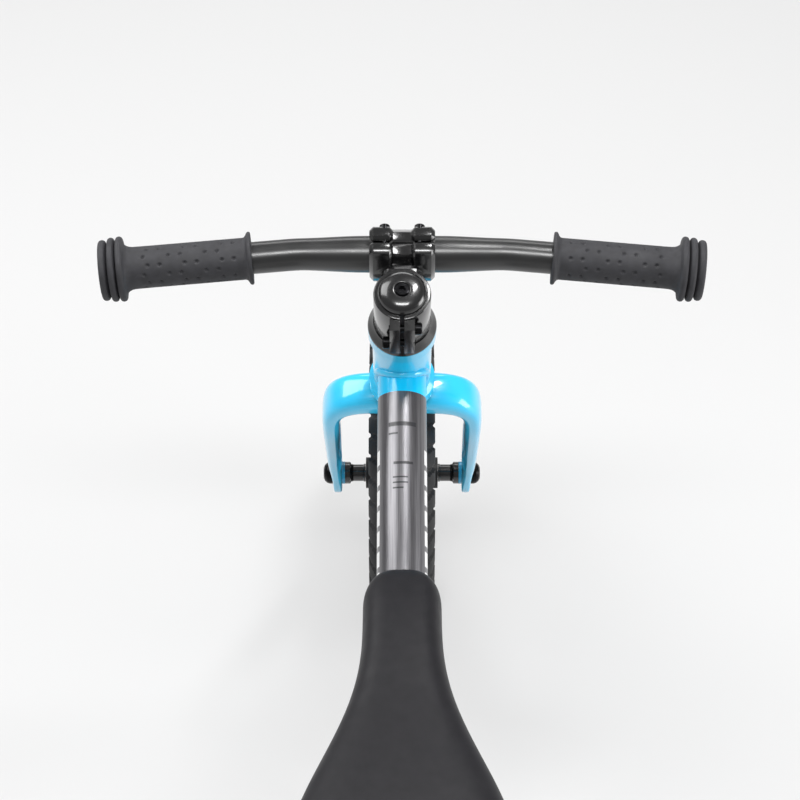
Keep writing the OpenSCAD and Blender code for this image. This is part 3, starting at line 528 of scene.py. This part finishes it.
def saddle_half(d):
    """Half width of the saddle at a distance behind its nose, in mm."""
    flare = smooth((d - FLARE_FROM) / FLARE_L) ** 1.6
    width = NOSE_W + (TAIL_W - NOSE_W) * flare
    return width * end_round(d, NOSE_ROUND) * end_round(SADDLE_L - d, TAIL_ROUND)


def saddle_crown(d):
    """Height of the padding in the middle at a distance behind the nose, in mm."""
    dip = math.sin(math.pi * max(0.0, min(1.0, (d - 20) / (SADDLE_L - 50))))
    return PAD_H - 7 * max(0.0, 1 - d / 90) ** 2 - 3 * dip ** 2


def saddle_ring(d, count):
    """Points across the saddle at d: a crowned top that rolls under at its edge."""
    w = max(1.0, saddle_half(d))
    h = saddle_crown(d) * max(0.35, min(end_round(d, 16), end_round(SADDLE_L - d, 20)))
    top = []
    for k in range(count):
        a = math.pi * k / (count - 1)
        x = w * math.copysign(abs(math.cos(a)) ** 0.55, math.cos(a))
        top.append(Vector((x, NOSE_REACH - d, PAD_Z + h * math.sin(a) ** 0.8)))
    return top + [Vector((x * w, NOSE_REACH - d, PAD_Z)) for x in UNDERSIDE]


class SaddleOperator(bpy.types.Operator):
    """Padded saddle cover over moulded foam"""
    bl_idname = "bike.saddle"
    bl_label = "Saddle"

    def execute(self, context):
        steps, count = 72, 33
        stations = [SADDLE_L * (1 - math.cos(math.pi * i / steps)) / 2 for i in range(1, steps)]
        rings = [saddle_ring(d, count) for d in stations]
        n = len(rings[0])
        points = [p * MM for ring in rings for p in ring]
        faces = ring_faces(len(rings), n)
        last = (len(rings) - 1) * n
        faces += [tuple(reversed(range(n))), tuple(last + k for k in range(n))]
        mesh = bpy.data.meshes.new("Saddle_cover")
        mesh.from_pydata(points, [], faces)
        pad = bpy.data.objects.new("Saddle_cover", mesh)
        context.collection.objects.link(pad)
        tidy_mesh(pad)
        modified(pad, "SUBSURF", levels=1, render_levels=1)
        put(pad, saddle_place())
        finished(pad, "saddle_assembly", saddle_cover(), ["saddle_pad"], 60)
        return {"FINISHED"}


# ---- handlebar and grips ----------------------------------------------------

BEND_R, SWEEP, STRAIGHT = 150.0, math.radians(5.5), 65.0
BAR_GAP, GRIP_L, GRIP_R = 24.4, 104.5, 14.5
BAR_R, BAR_TAPER, TAPER_FROM, TAPER_L = 12.7, 1.6, 26.5, 45
BEND_END = (STRAIGHT + BEND_R * math.sin(SWEEP), -BEND_R * (1 - math.cos(SWEEP)))


def grip_place():
    """+Z out along the right grip, from its inner end."""
    bend = Matrix.Translation(Vector((*BEND_END, 0)) * MM) @ Matrix.Rotation(-SWEEP, 4, "Z")
    inner_end = Matrix.Translation(Vector((BAR_GAP, 0, 0)) * MM)
    return bar_place() @ bend @ inner_end @ Matrix.Rotation(math.pi / 2, 4, "Y")


class HandlebarOperator(bpy.types.Operator):
    """Tapered steel bar, swept back at both ends"""
    bl_idname = "bike.handlebar"
    bl_label = "Handlebar"

    def execute(self, context):
        half = [(0, 0), (14, 0), (TAPER_FROM, 0)] + [(x, 0) for x in range(30, 65, 4)]
        for i in range(13):
            a = SWEEP * i / 12
            half.append((STRAIGHT + BEND_R * math.sin(a), -BEND_R * (1 - math.cos(a))))
        reach = BAR_GAP + GRIP_L - 6
        for s in (0.12, 1.0):
            half.append((
                BEND_END[0] + reach * s * math.cos(SWEEP), BEND_END[1] - reach * s * math.sin(SWEEP),
            ))
        radius = [BAR_R - BAR_TAPER * smooth((x - TAPER_FROM) / TAPER_L) for x, _ in half]
        points = [(-x, y, 0) for x, y in reversed(half[1:])] + [(x, y, 0) for x, y in half]
        bar = pipe("Handlebar", points, radius[:0:-1] + radius, 18)
        put(bar, bar_place())
        finished(bar, "steering", satin_black(), ["handlebar"], 50)
        return {"FINISHED"}


def disc_edge(at, r, t):
    """A lens-shaped disc's edge, t mm thick."""
    arc = [math.radians(d) for d in (-75, -50, -25, 0, 25, 50, 75)]
    return [(r - 1.9 + 1.9 * math.cos(a), at + t / 2 + t / 2 * math.sin(a)) for a in arc]


THUMB_FLANGE = [
    (11.1, 0), (17.6, 0), (18.1, 0.3), (18.3, 0.9), (18.3, 1.7), (18.0, 2.3), (17.2, 2.8), (15.9, 3.5),
    (14.9, 4.3),
]
GRIP_STEPS = 208
# Dimples stand in rows along the grip: pairs, with every second row moved along. In mm
DIMPLE_ROWS, DIMPLE_FROM, DIMPLE_PITCH = 14, 12.0, 25.4
DIMPLE_PAIR, DIMPLE_SHIFT, DIMPLE_R = 8.2, 11.0, 1.7


class GripsOperator(bpy.types.Operator):
    """Rubber grips with dimples, a thumb flange and three end discs"""
    bl_idname = "bike.grips"
    bl_label = "Grips"

    def execute(self, context):
        depth = context.scene.bike_sizes.dimple_depth / MM
        end = GRIP_L - 20
        body_from, body_to = 5.5, end - 9
        rows = int((body_to - body_from) / 0.6)
        profile = list(THUMB_FLANGE)
        profile += [(GRIP_R, body_from + (body_to - body_from) * i / rows) for i in range(rows + 1)]
        profile += [(14.6, end - 3), (14.9, end - 1), (15.5, end + 0.6), (16.4, end + 1.9)]
        profile += [(17.4, end + 2.7)] + disc_edge(end + 3.2, 22.5, 4.5) + [(17.6, end + 8.1)]
        profile += disc_edge(end + 8.9, 22.15, 4.5) + [(17.4, end + 14)]
        profile += disc_edge(end + 14.8, 21.0, 4.9) + [(15, GRIP_L - 0.2), (6, GRIP_L), (0, GRIP_L)]
        grip = spun("Grip_right", profile, GRIP_STEPS)
        for v in grip.data.vertices:
            z = v.co.z / MM
            if not body_from + 3 < z < body_to + 1:
                continue
            turn = math.atan2(v.co.y, v.co.x) / math.tau * DIMPLE_ROWS
            row = round(turn)
            across = (turn - row) * math.tau * GRIP_R / DIMPLE_ROWS
            start = DIMPLE_FROM + DIMPLE_SHIFT * (row % 2)
            near = min(
                math.hypot(across, z - (start + DIMPLE_PITCH * k + pair))
                for k in range(-1, 4) for pair in (0.0, DIMPLE_PAIR)
            )
            if near < DIMPLE_R:
                push = depth * (0.5 + 0.5 * math.cos(math.pi * near / DIMPLE_R)) ** 0.6
                scale = (GRIP_R - push) / GRIP_R
                v.co.x *= scale
                v.co.y *= scale
        put(grip, grip_place())
        left = mirrored(grip, "Grip_left")
        finished(grip, "steering", grip_rubber(), ["grip_right"], 50)
        finished(left, "steering", grip_rubber(), ["grip_left"], 50)
        return {"FINISHED"}


# ---- stem and headset -------------------------------------------------------

def across_prism(name, outline, low, high):
    """A (forward, up) outline in mm extruded across the bike from low to high."""
    return turned(prism(name, outline, low, high), 90, "Z")


# (forward, up) outlines of the bar clamp's deep cheeks and of the bridge between them, in mm
CHEEK = [
    (-0.5, 21.2), (-7.5, 21.2), (-10.5, 19.8), (-14.5, 12.5), (-17.4, 6), (-17.4, -6), (-14.5, -12.5),
    (-10.5, -19.8), (-7.5, -21.2), (-0.5, -21.2),
]
BRIDGE = [(-0.5, 15.9), (-8.5, 15.9), (-15.6, 7), (-15.6, -7), (-8.5, -15.9), (-0.5, -15.9)]
# (across, up) outlines of the pinch lugs and of the slit between them
LUGS = [
    (-8.5, -2), (8.5, -2), (8.5, -18.6), (7.6, -19.6), (7.6, -21.2), (8.5, -22.2), (8.5, -37),
    (-8.5, -37), (-8.5, -22.2), (-7.6, -21.2), (-7.6, -19.6), (-8.5, -18.6),
]
SLIT = [(-1.45, 5), (1.45, 5), (1.45, -50), (-1.45, -50)]
BAR_BORE = 12.75   # radius
# [radius, height] profiles
FACEPLATE_SCREW = [(0, -17), (1.9, -17), (1.9, 0), (3.3, 0), (3.6, 0.3), (3.6, 3.5), (3.2, 4), (0, 4)]
PINCH_SCREW = [
    (0, -17.6), (2.4, -17.6), (2.4, 0), (3.9, 0), (4.25, 0.35), (4.25, 4.4), (3.7, 5), (0, 5),
]
TOP_CAP = [
    (16, 0.05), (16.5, 0.4), (16.55, 1.1), (16.3, 1.8), (15.9, 2.6), (15.0, 3.9), (13.6, 5.0),
    (11.8, 5.8), (9.5, 6.4), (7.5, 6.7), (6.2, 6.8), (5.5, 6.7), (5.2, 6.4), (5.0, 5.8), (5.0, 2.4),
    (3.2, 2.4), (3.2, 0.05),
]
CAP_BOLT = [
    (0, -30), (2.9, -30), (2.9, 2.4), (4.5, 2.4), (4.7, 2.7), (4.7, 6.9), (4.2, 7.4), (3.4, 7.4),
    (3.2, 7.1), (0, 7.1),
]


def clamp_half(name, sign):
    """Half of the bar clamp: two cheeks and the bridge, on the side that sign points to."""
    cheek = [(-sign * y, z) for y, z in CHEEK]
    bridge = [(-sign * y, z) for y, z in BRIDGE]
    solid = rounded(across_prism(name, cheek, 6.2, 22.5), 2.6, 1, 75)
    other = rounded(across_prism("Cheek", cheek, -22.5, -6.2), 2.6, 1, 75)
    return fused(solid, other, across_prism("Bridge", bridge, -8, 8))


class StemOperator(bpy.types.Operator):
    """Forged stem with its faceplate, screws, top cap and bolt"""
    bl_idname = "bike.stem"
    bl_label = "Stem"

    def execute(self, context):
        place, bar = steering_place(), bar_place()
        ahead, drop = BAR_AT
        body = shifted(clamp_half("Stem_body", -1), 0, ahead, drop)
        arm = [(6, -6.5), (ahead - 15, -3.9), (ahead - 12, -35.1), (6, -33.5)]
        ring = spun("Ring", rounded_cap(19.6, -40, 0, 1.1), 96)
        flank = rounded(across_prism("Arm", arm, -14, 14), 4.5, 1)
        fused(body, flank, ring)
        fused(body, prism("Lugs", LUGS, -26.7, -12))
        cut(body, shifted(turned(rod("Bore", BAR_BORE, -40, 40, 64), 90, "Y"), 0, ahead, drop))
        cut(body, rod("Steerer_bore", STEERER_BORE, -60, 20, 64))
        cut(body, prism("Slit", SLIT, -40, -10))
        rounded(body, 0.9, 3, 28)
        put(body, place)
        finished(body, "steering", gloss_black(), ["stem_body"], 30)

        face = clamp_half("Stem_faceplate", 1)
        cut(face, turned(rod("Bore", BAR_BORE, -40, 40, 64), 90, "Y"))
        for side in (-1, 1):
            cut(face, shifted(turned(rod("Window", 3.2, -30, 30, 32), 90, "X"), side * 12, 0, 0))
        rounded(face, 0.9, 3, 28)
        put(face, bar)
        finished(face, "steering", gloss_black(), ["stem_faceplate"], 30)

        for number, (x, z) in enumerate([(-12, 16.8), (12, 16.8), (-12, -16.8), (12, -16.8)]):
            bolt = self.socket_screw(f"Faceplate_screw_{number + 1}", FACEPLATE_SCREW, 1.6, 4)
            put(shifted(turned(bolt, -90, "X"), x, 9, z), bar)
            stands_for = [] if number else ["faceplate_bolts"]
            finished(bolt, "steering", black_oxide(), stands_for)
        for number, (side, z) in enumerate([(1, -10), (-1, -31)]):
            bolt = self.socket_screw(f"Pinch_screw_{number + 1}", PINCH_SCREW, 2.0, 5)
            put(shifted(turned(bolt, 90 * side, "Y"), side * 8.5, -21.3, z), place)
            stands_for = [] if number else ["pinch_bolts"]
            finished(bolt, "steering", black_oxide(), stands_for)

        cap = spun("Top_cap", TOP_CAP, 128, closed=True)
        put(cap, place)
        finished(cap, "steering", gloss_black(), ["top_cap"], 40)
        bolt = self.socket_screw("Top_cap_bolt", CAP_BOLT, 2.7, 7.4)
        put(bolt, place)
        zinc = bright_steel("Bright_zinc_steel", "2C2C2E", "3A3A3C")
        finished(bolt, "steering", zinc, ["top_cap_bolt"])
        return {"FINISHED"}

    @staticmethod
    def socket_screw(name, profile, hex_r, top):
        """A cap screw along Z with a six-sided socket in its head."""
        screw = spun(name, profile, 48)
        socket = [(0, top - 3), (hex_r, top - 3), (hex_r, top + 1), (0, top + 1)]
        return cut(screw, spun("Socket", socket, 6))


class HeadsetOperator(bpy.types.Operator):
    """Conical cover of the headset"""
    bl_idname = "bike.headset"
    bl_label = "Headset"

    def execute(self, context):
        place = steering_place()
        cover = spun("Headset_cover", [
            (STEERER_BORE, -47.7), (23.6, -47.7), (24, -47.4), (24, -46.3), (23.6, -45.6),
            (22.6, -44.1), (21.4, -42.2), (20.5, -40.7), (20.2, -40.1), (STEERER_BORE, -40.1),
        ], 128, closed=True)
        put(cover, place)
        finished(cover, "steering", gloss_black(), ["headset_cover"], 35)
        return {"FINISHED"}


# ---- fork -------------------------------------------------------------------

# Stations along the right half of the fork: outer and inner (across, up), in mm
FORK_STATIONS = (
    (0, -147, 0, -172), (14, -147.2, 14, -172), (25, -148, 25, -172.2),
    (34, -150, 32.5, -173), (42, -153.4, 38, -174.8), (49, -158.6, 42, -177.6),
    (54.5, -165.4, 44.6, -181.6), (58.4, -174, 46, -187), (60.6, -184, 46.8, -194),
    (61.3, -196, 47.2, -203), (61.4, -212, 47.5, -214), (61.4, -235, 48, -235),
    (61.2, -262, 48.4, -262), (61, -290, 48.8, -288), (60.4, -308, 49, -306),
    (59.4, -321, 49.2, -319), (58.2, -331, 49.4, -330), (57.6, -340, 49.5, -340),
    (57.4, -350, 49.6, -350), (57.3, -358, 49.7, -358), (57, -363.5, 50, -363.5),
    (56.2, -366.6, 50.8, -366.6),
)
# The hollow in each blade's inner side, (across, up) in mm
POCKET = ((42, -198), (51.5, -204), (53, -240), (53, -290), (51.5, -306), (42, -312))


def fork_depth(z):
    """The fork's middle and half depth, forward of the steering axis, at a height z in mm."""
    if z < AXLE_DROP:
        return FORK_RAKE, math.sqrt(max(9.0, 17.2 ** 2 - (AXLE_DROP - z) ** 2))
    down = smooth((-188 - z) / (-188 - AXLE_DROP))
    return FORK_RAKE * down, 15 - 1.6 * math.sin(math.pi * down) + 2.2 * down ** 3


def fork_ring(station, count):
    """Points round the fork at a station, square-shouldered but soft."""
    outer, inner = Vector((station[0], station[1])), Vector((station[2], station[3]))
    mid, half = (outer + inner) / 2, (outer - inner) / 2
    ahead, deep = fork_depth(mid.y)
    power = 0.62 + 0.1 * smooth((mid.y + 185) / 30) - 0.3 * smooth((-325 - mid.y) / 12)
    ring = []
    for k in range(count):
        a = math.tau * (k + 0.5) / count
        c, s = math.cos(a), math.sin(a)
        across = mid + half * math.copysign(abs(c) ** power, c)
        ring.append(Vector((across.x, ahead + deep * math.copysign(abs(s) ** power, s), across.y)) * MM)
    return ring


class ForkOperator(bpy.types.Operator):
    """Blue fork: a broad rounded crown and two blades in one smooth shape"""
    bl_idname = "bike.fork"
    bl_label = "Fork"

    def execute(self, context):
        count = 40
        right = [fork_ring(station, count) for station in FORK_STATIONS]
        left = [[Vector((-p.x, p.y, p.z)) for p in ring] for ring in reversed(right[1:])]
        rings = left + right
        faces = ring_faces(len(rings), count)
        last = (len(rings) - 1) * count
        faces += [tuple(range(count)), tuple(last + k for k in reversed(range(count)))]
        mesh = bpy.data.meshes.new("Fork")
        mesh.from_pydata([p for ring in rings for p in ring], [], faces)
        fork = bpy.data.objects.new("Fork", mesh)
        context.collection.objects.link(fork)
        tidy_mesh(fork)
        modified(fork, "SUBSURF", levels=2, render_levels=2)
        for sign in (-1, 1):
            boss = turned(spun("Boss", rounded_cap(9.5, 0, 6, 0.6), 64), 90 * sign, "Y")
            fused(fork, shifted(boss, sign * 47.5, FORK_RAKE, AXLE_DROP))
            pocket = prism("Pocket", [(sign * x, z) for x, z in POCKET], -6.5, 9.5)
            cut(fork, rounded(pocket, 3.4, 4))
        cut(fork, rod("Steerer_bore", STEERER_BORE, -200, -100, 64))
        axle_bore = turned(rod("Axle_bore", 4.05, -90, 90, 32), 90, "Y")
        cut(fork, shifted(axle_bore, 0, FORK_RAKE, AXLE_DROP))
        put(fork, steering_place())
        stands_for = ["fork_crown", "fork_leg_left", "fork_leg_right"]
        finished(fork, "steering", blue_enamel(), stands_for, 40)
        return {"FINISHED"}


# ---- frame ------------------------------------------------------------------

PRINT_EDGE = 0.05     # half the width over which a printed edge fades, in mm
PAINT_END = 33.5      # the enamel's edge, back along the tube
# Plain dark bars on the tube's top, where a maker would print: from, to, left and right in mm
PRINTED_BARS = (
    (57, 60.2, -9.5, 9.5), (65, 66.3, -9.5, -3), (87, 89, -6, 7.5), (98, 99.2, -6.5, 4),
    (102, 103.2, -6.5, 4), (106, 107.2, -6.5, 1),
)
# White dashes low on both sides: their pitch, length, place across and extent along the tube
DASH_PITCH, DASH_L, DASH_ACROSS, DASH_ALONG = 15, 11, (15.6, 17.4), (75, 255)


def past(tree, value, edge):
    """1 where a coordinate is past an edge in mm, and 0 before it."""
    ends = {"Value": value, "From Min": (edge - PRINT_EDGE) * MM, "From Max": (edge + PRINT_EDGE) * MM}
    return add(tree, "MapRange", ends).outputs["Result"]


def between(tree, value, low, high):
    """1 where a coordinate is between two edges in mm, and 0 elsewhere."""
    before = add(tree, "Math", {0: 1.0, 1: past(tree, value, high)}, operation="SUBTRACT").outputs[0]
    return add(tree, "Math", {0: past(tree, value, low), 1: before}, operation="MULTIPLY").outputs[0]


def main_tube_finish():
    """The brushed main tube, with blue enamel over its front end and plain printed bars along it."""
    material = brushed_aluminium("Brushed_tube_with_enamel_end", tube_place())
    tree = material.node_tree
    shader = tree.nodes["Principled BSDF"]
    at = next(n for n in tree.nodes if n.bl_idname == "ShaderNodeTexCoord").outputs["Object"]
    here = add(tree, "SeparateXYZ", {"Vector": along(tree, at, tube_place())})
    across, over_top, back = here.outputs
    past_paint = past(tree, back, PAINT_END)
    paint = add(tree, "Math", {0: 1.0, 1: past_paint}, operation="SUBTRACT").outputs[0]
    width = add(tree, "Math", {0: across, 1: 0.0}, operation="ABSOLUTE").outputs[0]
    top = past(tree, over_top, 0)

    phase = add(tree, "Math", {0: back, 1: DASH_PITCH * MM}, operation="MODULO").outputs[0]
    on_side = between(tree, width, *DASH_ACROSS)
    on_length = between(tree, back, *DASH_ALONG)
    band = add(tree, "Math", {0: on_side, 1: on_length}, operation="MULTIPLY").outputs[0]
    dash = between(tree, phase, 0.0, DASH_L)
    dashes = add(tree, "Math", {0: dash, 1: band}, operation="MULTIPLY").outputs[0]
    dashes = add(tree, "Math", {0: dashes, 1: top}, operation="MULTIPLY").outputs[0]

    bars = 0.0
    for low, high, left, right in PRINTED_BARS:
        sides = {0: between(tree, back, low, high), 1: between(tree, across, left, right)}
        box = add(tree, "Math", sides, operation="MULTIPLY").outputs[0]
        bar = add(tree, "Math", {0: box, 1: top}, operation="MULTIPLY").outputs[0]
        bars = add(tree, "Math", {0: bars, 1: bar}, operation="ADD").outputs[0]

    metal = shader.inputs["Base Color"].links[0].from_socket
    rough = shader.inputs["Roughness"].links[0].from_socket
    for mask, tint, tint_rough in (
        (dashes, "E9E9E9", 0.4), (bars, "232327", 0.4), (paint, "04C2F4", 0.2),
    ):
        metal = add(tree, "Mix", {0: mask, 6: metal, 7: linear(tint)}, data_type="RGBA").outputs[2]
        rough = add(tree, "Mix", {0: mask, 2: rough, 3: tint_rough}, data_type="FLOAT").outputs[0]
    tree.links.new(metal, shader.inputs["Base Color"])
    tree.links.new(rough, shader.inputs["Roughness"])
    printed = add(tree, "Math", {0: dashes, 1: bars}, operation="ADD").outputs[0]
    covered = add(tree, "Math", {0: printed, 1: paint}, operation="ADD").outputs[0]
    covered = add(tree, "Math", {0: covered, 1: 1.0}, operation="MINIMUM").outputs[0]
    bare = add(tree, "Math", {0: 1.0, 1: covered}, operation="SUBTRACT").outputs[0]
    tree.links.new(bare, shader.inputs["Metallic"])
    return material


WELD_STEPS = 72
TUBE_R, HEAD_TUBE_R = 17.5, 21
BLASTED_NODES = (
    "upper_yoke", "lower_yoke", "upper_stay_left", "upper_stay_right", "lower_stay_left",
    "lower_stay_right", "rear_dropout_left", "rear_dropout_right",
)


class FrameOperator(bpy.types.Operator):
    """Painted head tube, brushed tubes and the weld between head tube and main tube"""
    bl_idname = "bike.frame"
    bl_label = "Frame"

    def execute(self, context):
        coat(blue_enamel(), "head_tube")
        coat(main_tube_finish(), "main_tube")
        coat(brushed_aluminium("Brushed_seat_tube", seat_place()), "seat_tube")
        blasted = grained(
            "Shot_blasted_aluminium", "8E8D90", "A19FA3", 0.8, 0.03, (0.38, 0.5), 6, Metallic=1.0,
        )
        coat(blasted, *BLASTED_NODES)
        # The weld bead follows the line where the two tubes meet, found by halving
        tube, steer = tube_place(), steering_place()
        to_steer = steer.inverted()
        points = []
        for i in range(WELD_STEPS):
            a = math.tau * i / WELD_STEPS
            low, high = 0.0, 60.0
            for _ in range(30):
                mid = (low + high) / 2
                p = to_steer @ tube @ (Vector((TUBE_R * math.cos(a), TUBE_R * math.sin(a), mid)) * MM)
                inside = math.hypot(p.x, p.y) < HEAD_TUBE_R * MM
                low, high = (mid, high) if inside else (low, mid)
            points.append((17.6 * math.cos(a), 17.6 * math.sin(a), high + 0.2))
        bead_r = context.scene.bike_sizes.weld_radius / MM
        radii = [bead_r + 0.15 * math.sin(i * 2.1) for i in range(WELD_STEPS)]
        bead = pipe("Head_tube_weld", points, radii, 8, cyclic=True)
        put(bead, tube)
        finished(bead, "frame", blue_enamel())
        return {"FINISHED"}


# ---- wheels -----------------------------------------------------------------

TYRE_MID, CASING_R, TREAD_DEPTH = 122.5, 26.0, 1.9     # in mm
STEPS_PER_BLOCK = 12
# Turns round the casing, from its bead side over to its middle, in degrees
WALL_TURNS = (122, 112, 102, 96, 92)
TREAD_TURNS = (90, 88, 82, 76, 70, 64, 58, 52, 46, 40, 34, 28, 25, 22, 18, 14, 11, 8, 4, 0)


class TyresOperator(bpy.types.Operator):
    """Tyres with a block tread"""
    bl_idname = "bike.tyres"
    bl_label = "Tyres"

    def execute(self, context):
        blocks = context.scene.bike_sizes.tread_blocks
        at, r = TYRE_MID, CASING_R
        wall = r - 1.6
        profile = [(101.5, 12.4), (104, 12.7), (107.2, 12.9), (109.5, 15.6)]
        for a in [math.radians(d) for d in WALL_TURNS]:
            profile.append((at + wall * math.cos(a), wall * math.sin(a)))
        for a in [math.radians(d) for d in TREAD_TURNS]:
            profile.append((at + r * math.cos(a), r * math.sin(a)))
        profile = profile + [(x, -y) for x, y in reversed(profile[:-1])]
        profile += [(103.5, -9.6), (113, -16), (at + 18, -12), (at + 20.6, 0)]
        profile += [(at + 18, 12), (113, 16), (103.5, 9.6)]
        tyre = spun("Front_tyre_tread", profile, blocks * STEPS_PER_BLOCK, closed=True)
        for v in tyre.data.vertices:
            x, y, z = v.co / MM
            out = math.hypot(x, y)
            lean = math.atan2(abs(z), out - at)
            if math.hypot(out - at, z) < r - 0.2 or lean > math.radians(91):
                continue
            side = math.degrees(lean)
            turn = (math.atan2(y, x) / math.tau * blocks + (0.5 if z < 0 else 0)) % 1.0
            slant = (turn + side / 110) % 1.0
            groove = 0.0
            if side > 27 and slant < 0.24:
                groove = 1.0
            elif 20 < side < 29:
                groove = 0.8
            elif side <= 12 and (turn * 2 % 1.0) < 0.2 and side > 3:
                groove = 0.7
            if groove:
                scale = 1 - TREAD_DEPTH * groove / r
                v.co.x, v.co.y = [c * (at + (out - at) * scale) / out for c in (v.co.x, v.co.y)]
                v.co.z *= scale
        rear = copied(tyre, "Rear_tyre_tread")
        put(tyre, axle_place("front_tyre"))
        put(rear, axle_place("rear_tyre"))
        finished(tyre, "front_wheel_assembly", tyre_rubber(), ["front_tyre"], 28)
        finished(rear, "rear_wheel_assembly", tyre_rubber(), ["rear_tyre"], 28)
        return {"FINISHED"}


STEEL_NODES = (
    "front_bearings", "rear_bearings", "upper_head_bearing", "lower_head_bearing", "front_axle",
    "rear_axle", "front_hub_sleeve", "rear_hub_sleeve", "collar_skewer", "star_nut",
    "compression_ring", "saddle_rails", "front_valve", "rear_valve",
)


class HardwareOperator(bpy.types.Operator):
    """Finishes of the wheels, axles, seat clamp and the saddle's fittings"""
    bl_idname = "bike.hardware"
    bl_label = "Hardware"

    def execute(self, context):
        coat(nylon(), "front_wheel", "rear_wheel", "saddle_shell")
        coat(tyre_rubber(), "front_inner_tube", "rear_inner_tube")
        coat(gloss_black(), "front_spacers", "rear_spacers", "seat_collar", "crown_race")
        coat(black_oxide(), "front_axle_bolts", "rear_axle_bolts", "saddle_clamp_bolts",
             "quick_release_lever")
        coat(bright_steel(), *STEEL_NODES)
        beaded = grained(
            "Bead_blasted_alloy", "7F7F82", "8C8C90", 0.7, 0.02, (0.34, 0.44), 5, Metallic=1.0,
        )
        coat(beaded, "seat_post", "saddle_clamp_lower", "saddle_clamp_upper", "steerer_tube")
        return {"FINISHED"}


# ---- stage ------------------------------------------------------------------

SOFTBOXES = (   # name, place, point aimed at, size in m, watts
    ("Top_softbox", (0.5, 0.5, 2.0), (0, 0.05, 0.3), (0.22, 0.5), 14),
    ("Left_softbox", (-1.05, 0.6, 1.5), (0, 0.1, 0.35), (0.9, 1.2), 18),
    ("Right_softbox", (1.7, -0.15, 0.6), (0, 0.1, 0.3), (0.9, 0.9), 16),
    ("Front_softbox", (0.0, 1.9, 1.3), (0, 0.1, 0.4), (1.2, 0.4), 5),
    ("High_softbox", (0.0, -0.6, 2.0), (0, 0.15, 0.4), (0.8, 0.22), 12),
)
CAMERA_AT = (-0.0015, -0.815, 1.350)
CAMERA_DOWN = 45.5    # degrees below level
LENS, SENSOR = 86.9, 36


class StageOperator(bpy.types.Operator):
    """Pale floor, soft studio lights and the camera"""
    bl_idname = "bike.stage"
    bl_label = "Stage"

    def execute(self, context):
        scene = context.scene
        deselect()
        bpy.ops.mesh.primitive_plane_add(size=scene.bike_sizes.floor_size, location=(0, 0, 0))
        floor = context.object
        floor.name = "Studio_floor"
        material, tree, shader, _ = finish_base(
            "Matte_studio_floor", Roughness=0.9, Specular_IOR_Level=0.1, Emission_Strength=0.5,
        )
        if tree:
            shader.inputs["Base Color"].default_value = linear("A0A0A0")
            shader.inputs["Emission Color"].default_value = scene.bike_colours.floor
        floor.data.materials.append(material)

        world = scene.world or bpy.data.worlds.new("Studio")
        scene.world = world
        world.use_nodes = True
        sky = world.node_tree.nodes["Background"]
        sky.inputs["Color"].default_value = linear("F3F3F3")
        sky.inputs["Strength"].default_value = 0.4

        for name, at, aim, size, watts in SOFTBOXES:
            light = bpy.data.lights.new(name, "AREA")
            light.shape = "RECTANGLE"
            light.size, light.size_y = size
            light.energy = watts
            lamp = bpy.data.objects.new(name, light)
            lamp.location = at
            lamp.rotation_euler = (Vector(aim) - Vector(at)).to_track_quat("-Z", "Y").to_euler()
            context.collection.objects.link(lamp)

        view = bpy.data.cameras.new("Camera")
        view.lens = LENS
        view.sensor_width = SENSOR
        camera = bpy.data.objects.new("Camera", view)
        camera.location = CAMERA_AT
        camera.rotation_euler = (math.radians(90 - CAMERA_DOWN), 0, 0)
        context.collection.objects.link(camera)
        scene.camera = camera
        scene.view_settings.view_transform = "Standard"
        return {"FINISHED"}


class BikePanel(bpy.types.Panel):
    bl_idname = "VIEW3D_PT_balance_bike"
    bl_label = "Balance bike"
    bl_space_type = "VIEW_3D"
    bl_region_type = "UI"
    bl_category = "Balance bike"

    def draw(self, context):
        for group in (context.scene.bike_sizes, context.scene.bike_colours):
            for name in group.__annotations__:
                self.layout.prop(group, name)
        for operator in OPERATORS:
            self.layout.operator(operator.bl_idname)


OPERATORS = (
    StageOperator, SaddleOperator, HandlebarOperator, GripsOperator, StemOperator, HeadsetOperator,
    ForkOperator, FrameOperator, TyresOperator, HardwareOperator,
)
CLASSES = (BikeSizes, BikeColours, *OPERATORS, BikePanel)


def register():
    for cls in CLASSES:
        bpy.utils.register_class(cls)
    bpy.types.Scene.bike_sizes = PointerProperty(type=BikeSizes)
    bpy.types.Scene.bike_colours = PointerProperty(type=BikeColours)


def unregister():
    del bpy.types.Scene.bike_sizes, bpy.types.Scene.bike_colours
    for cls in reversed(CLASSES):
        bpy.utils.unregister_class(cls)


def main():
    register()
    for operator in OPERATORS:
        group, name = operator.bl_idname.split(".")
        getattr(getattr(bpy.ops, group), name)()


if __name__ == "__main__":
    main()
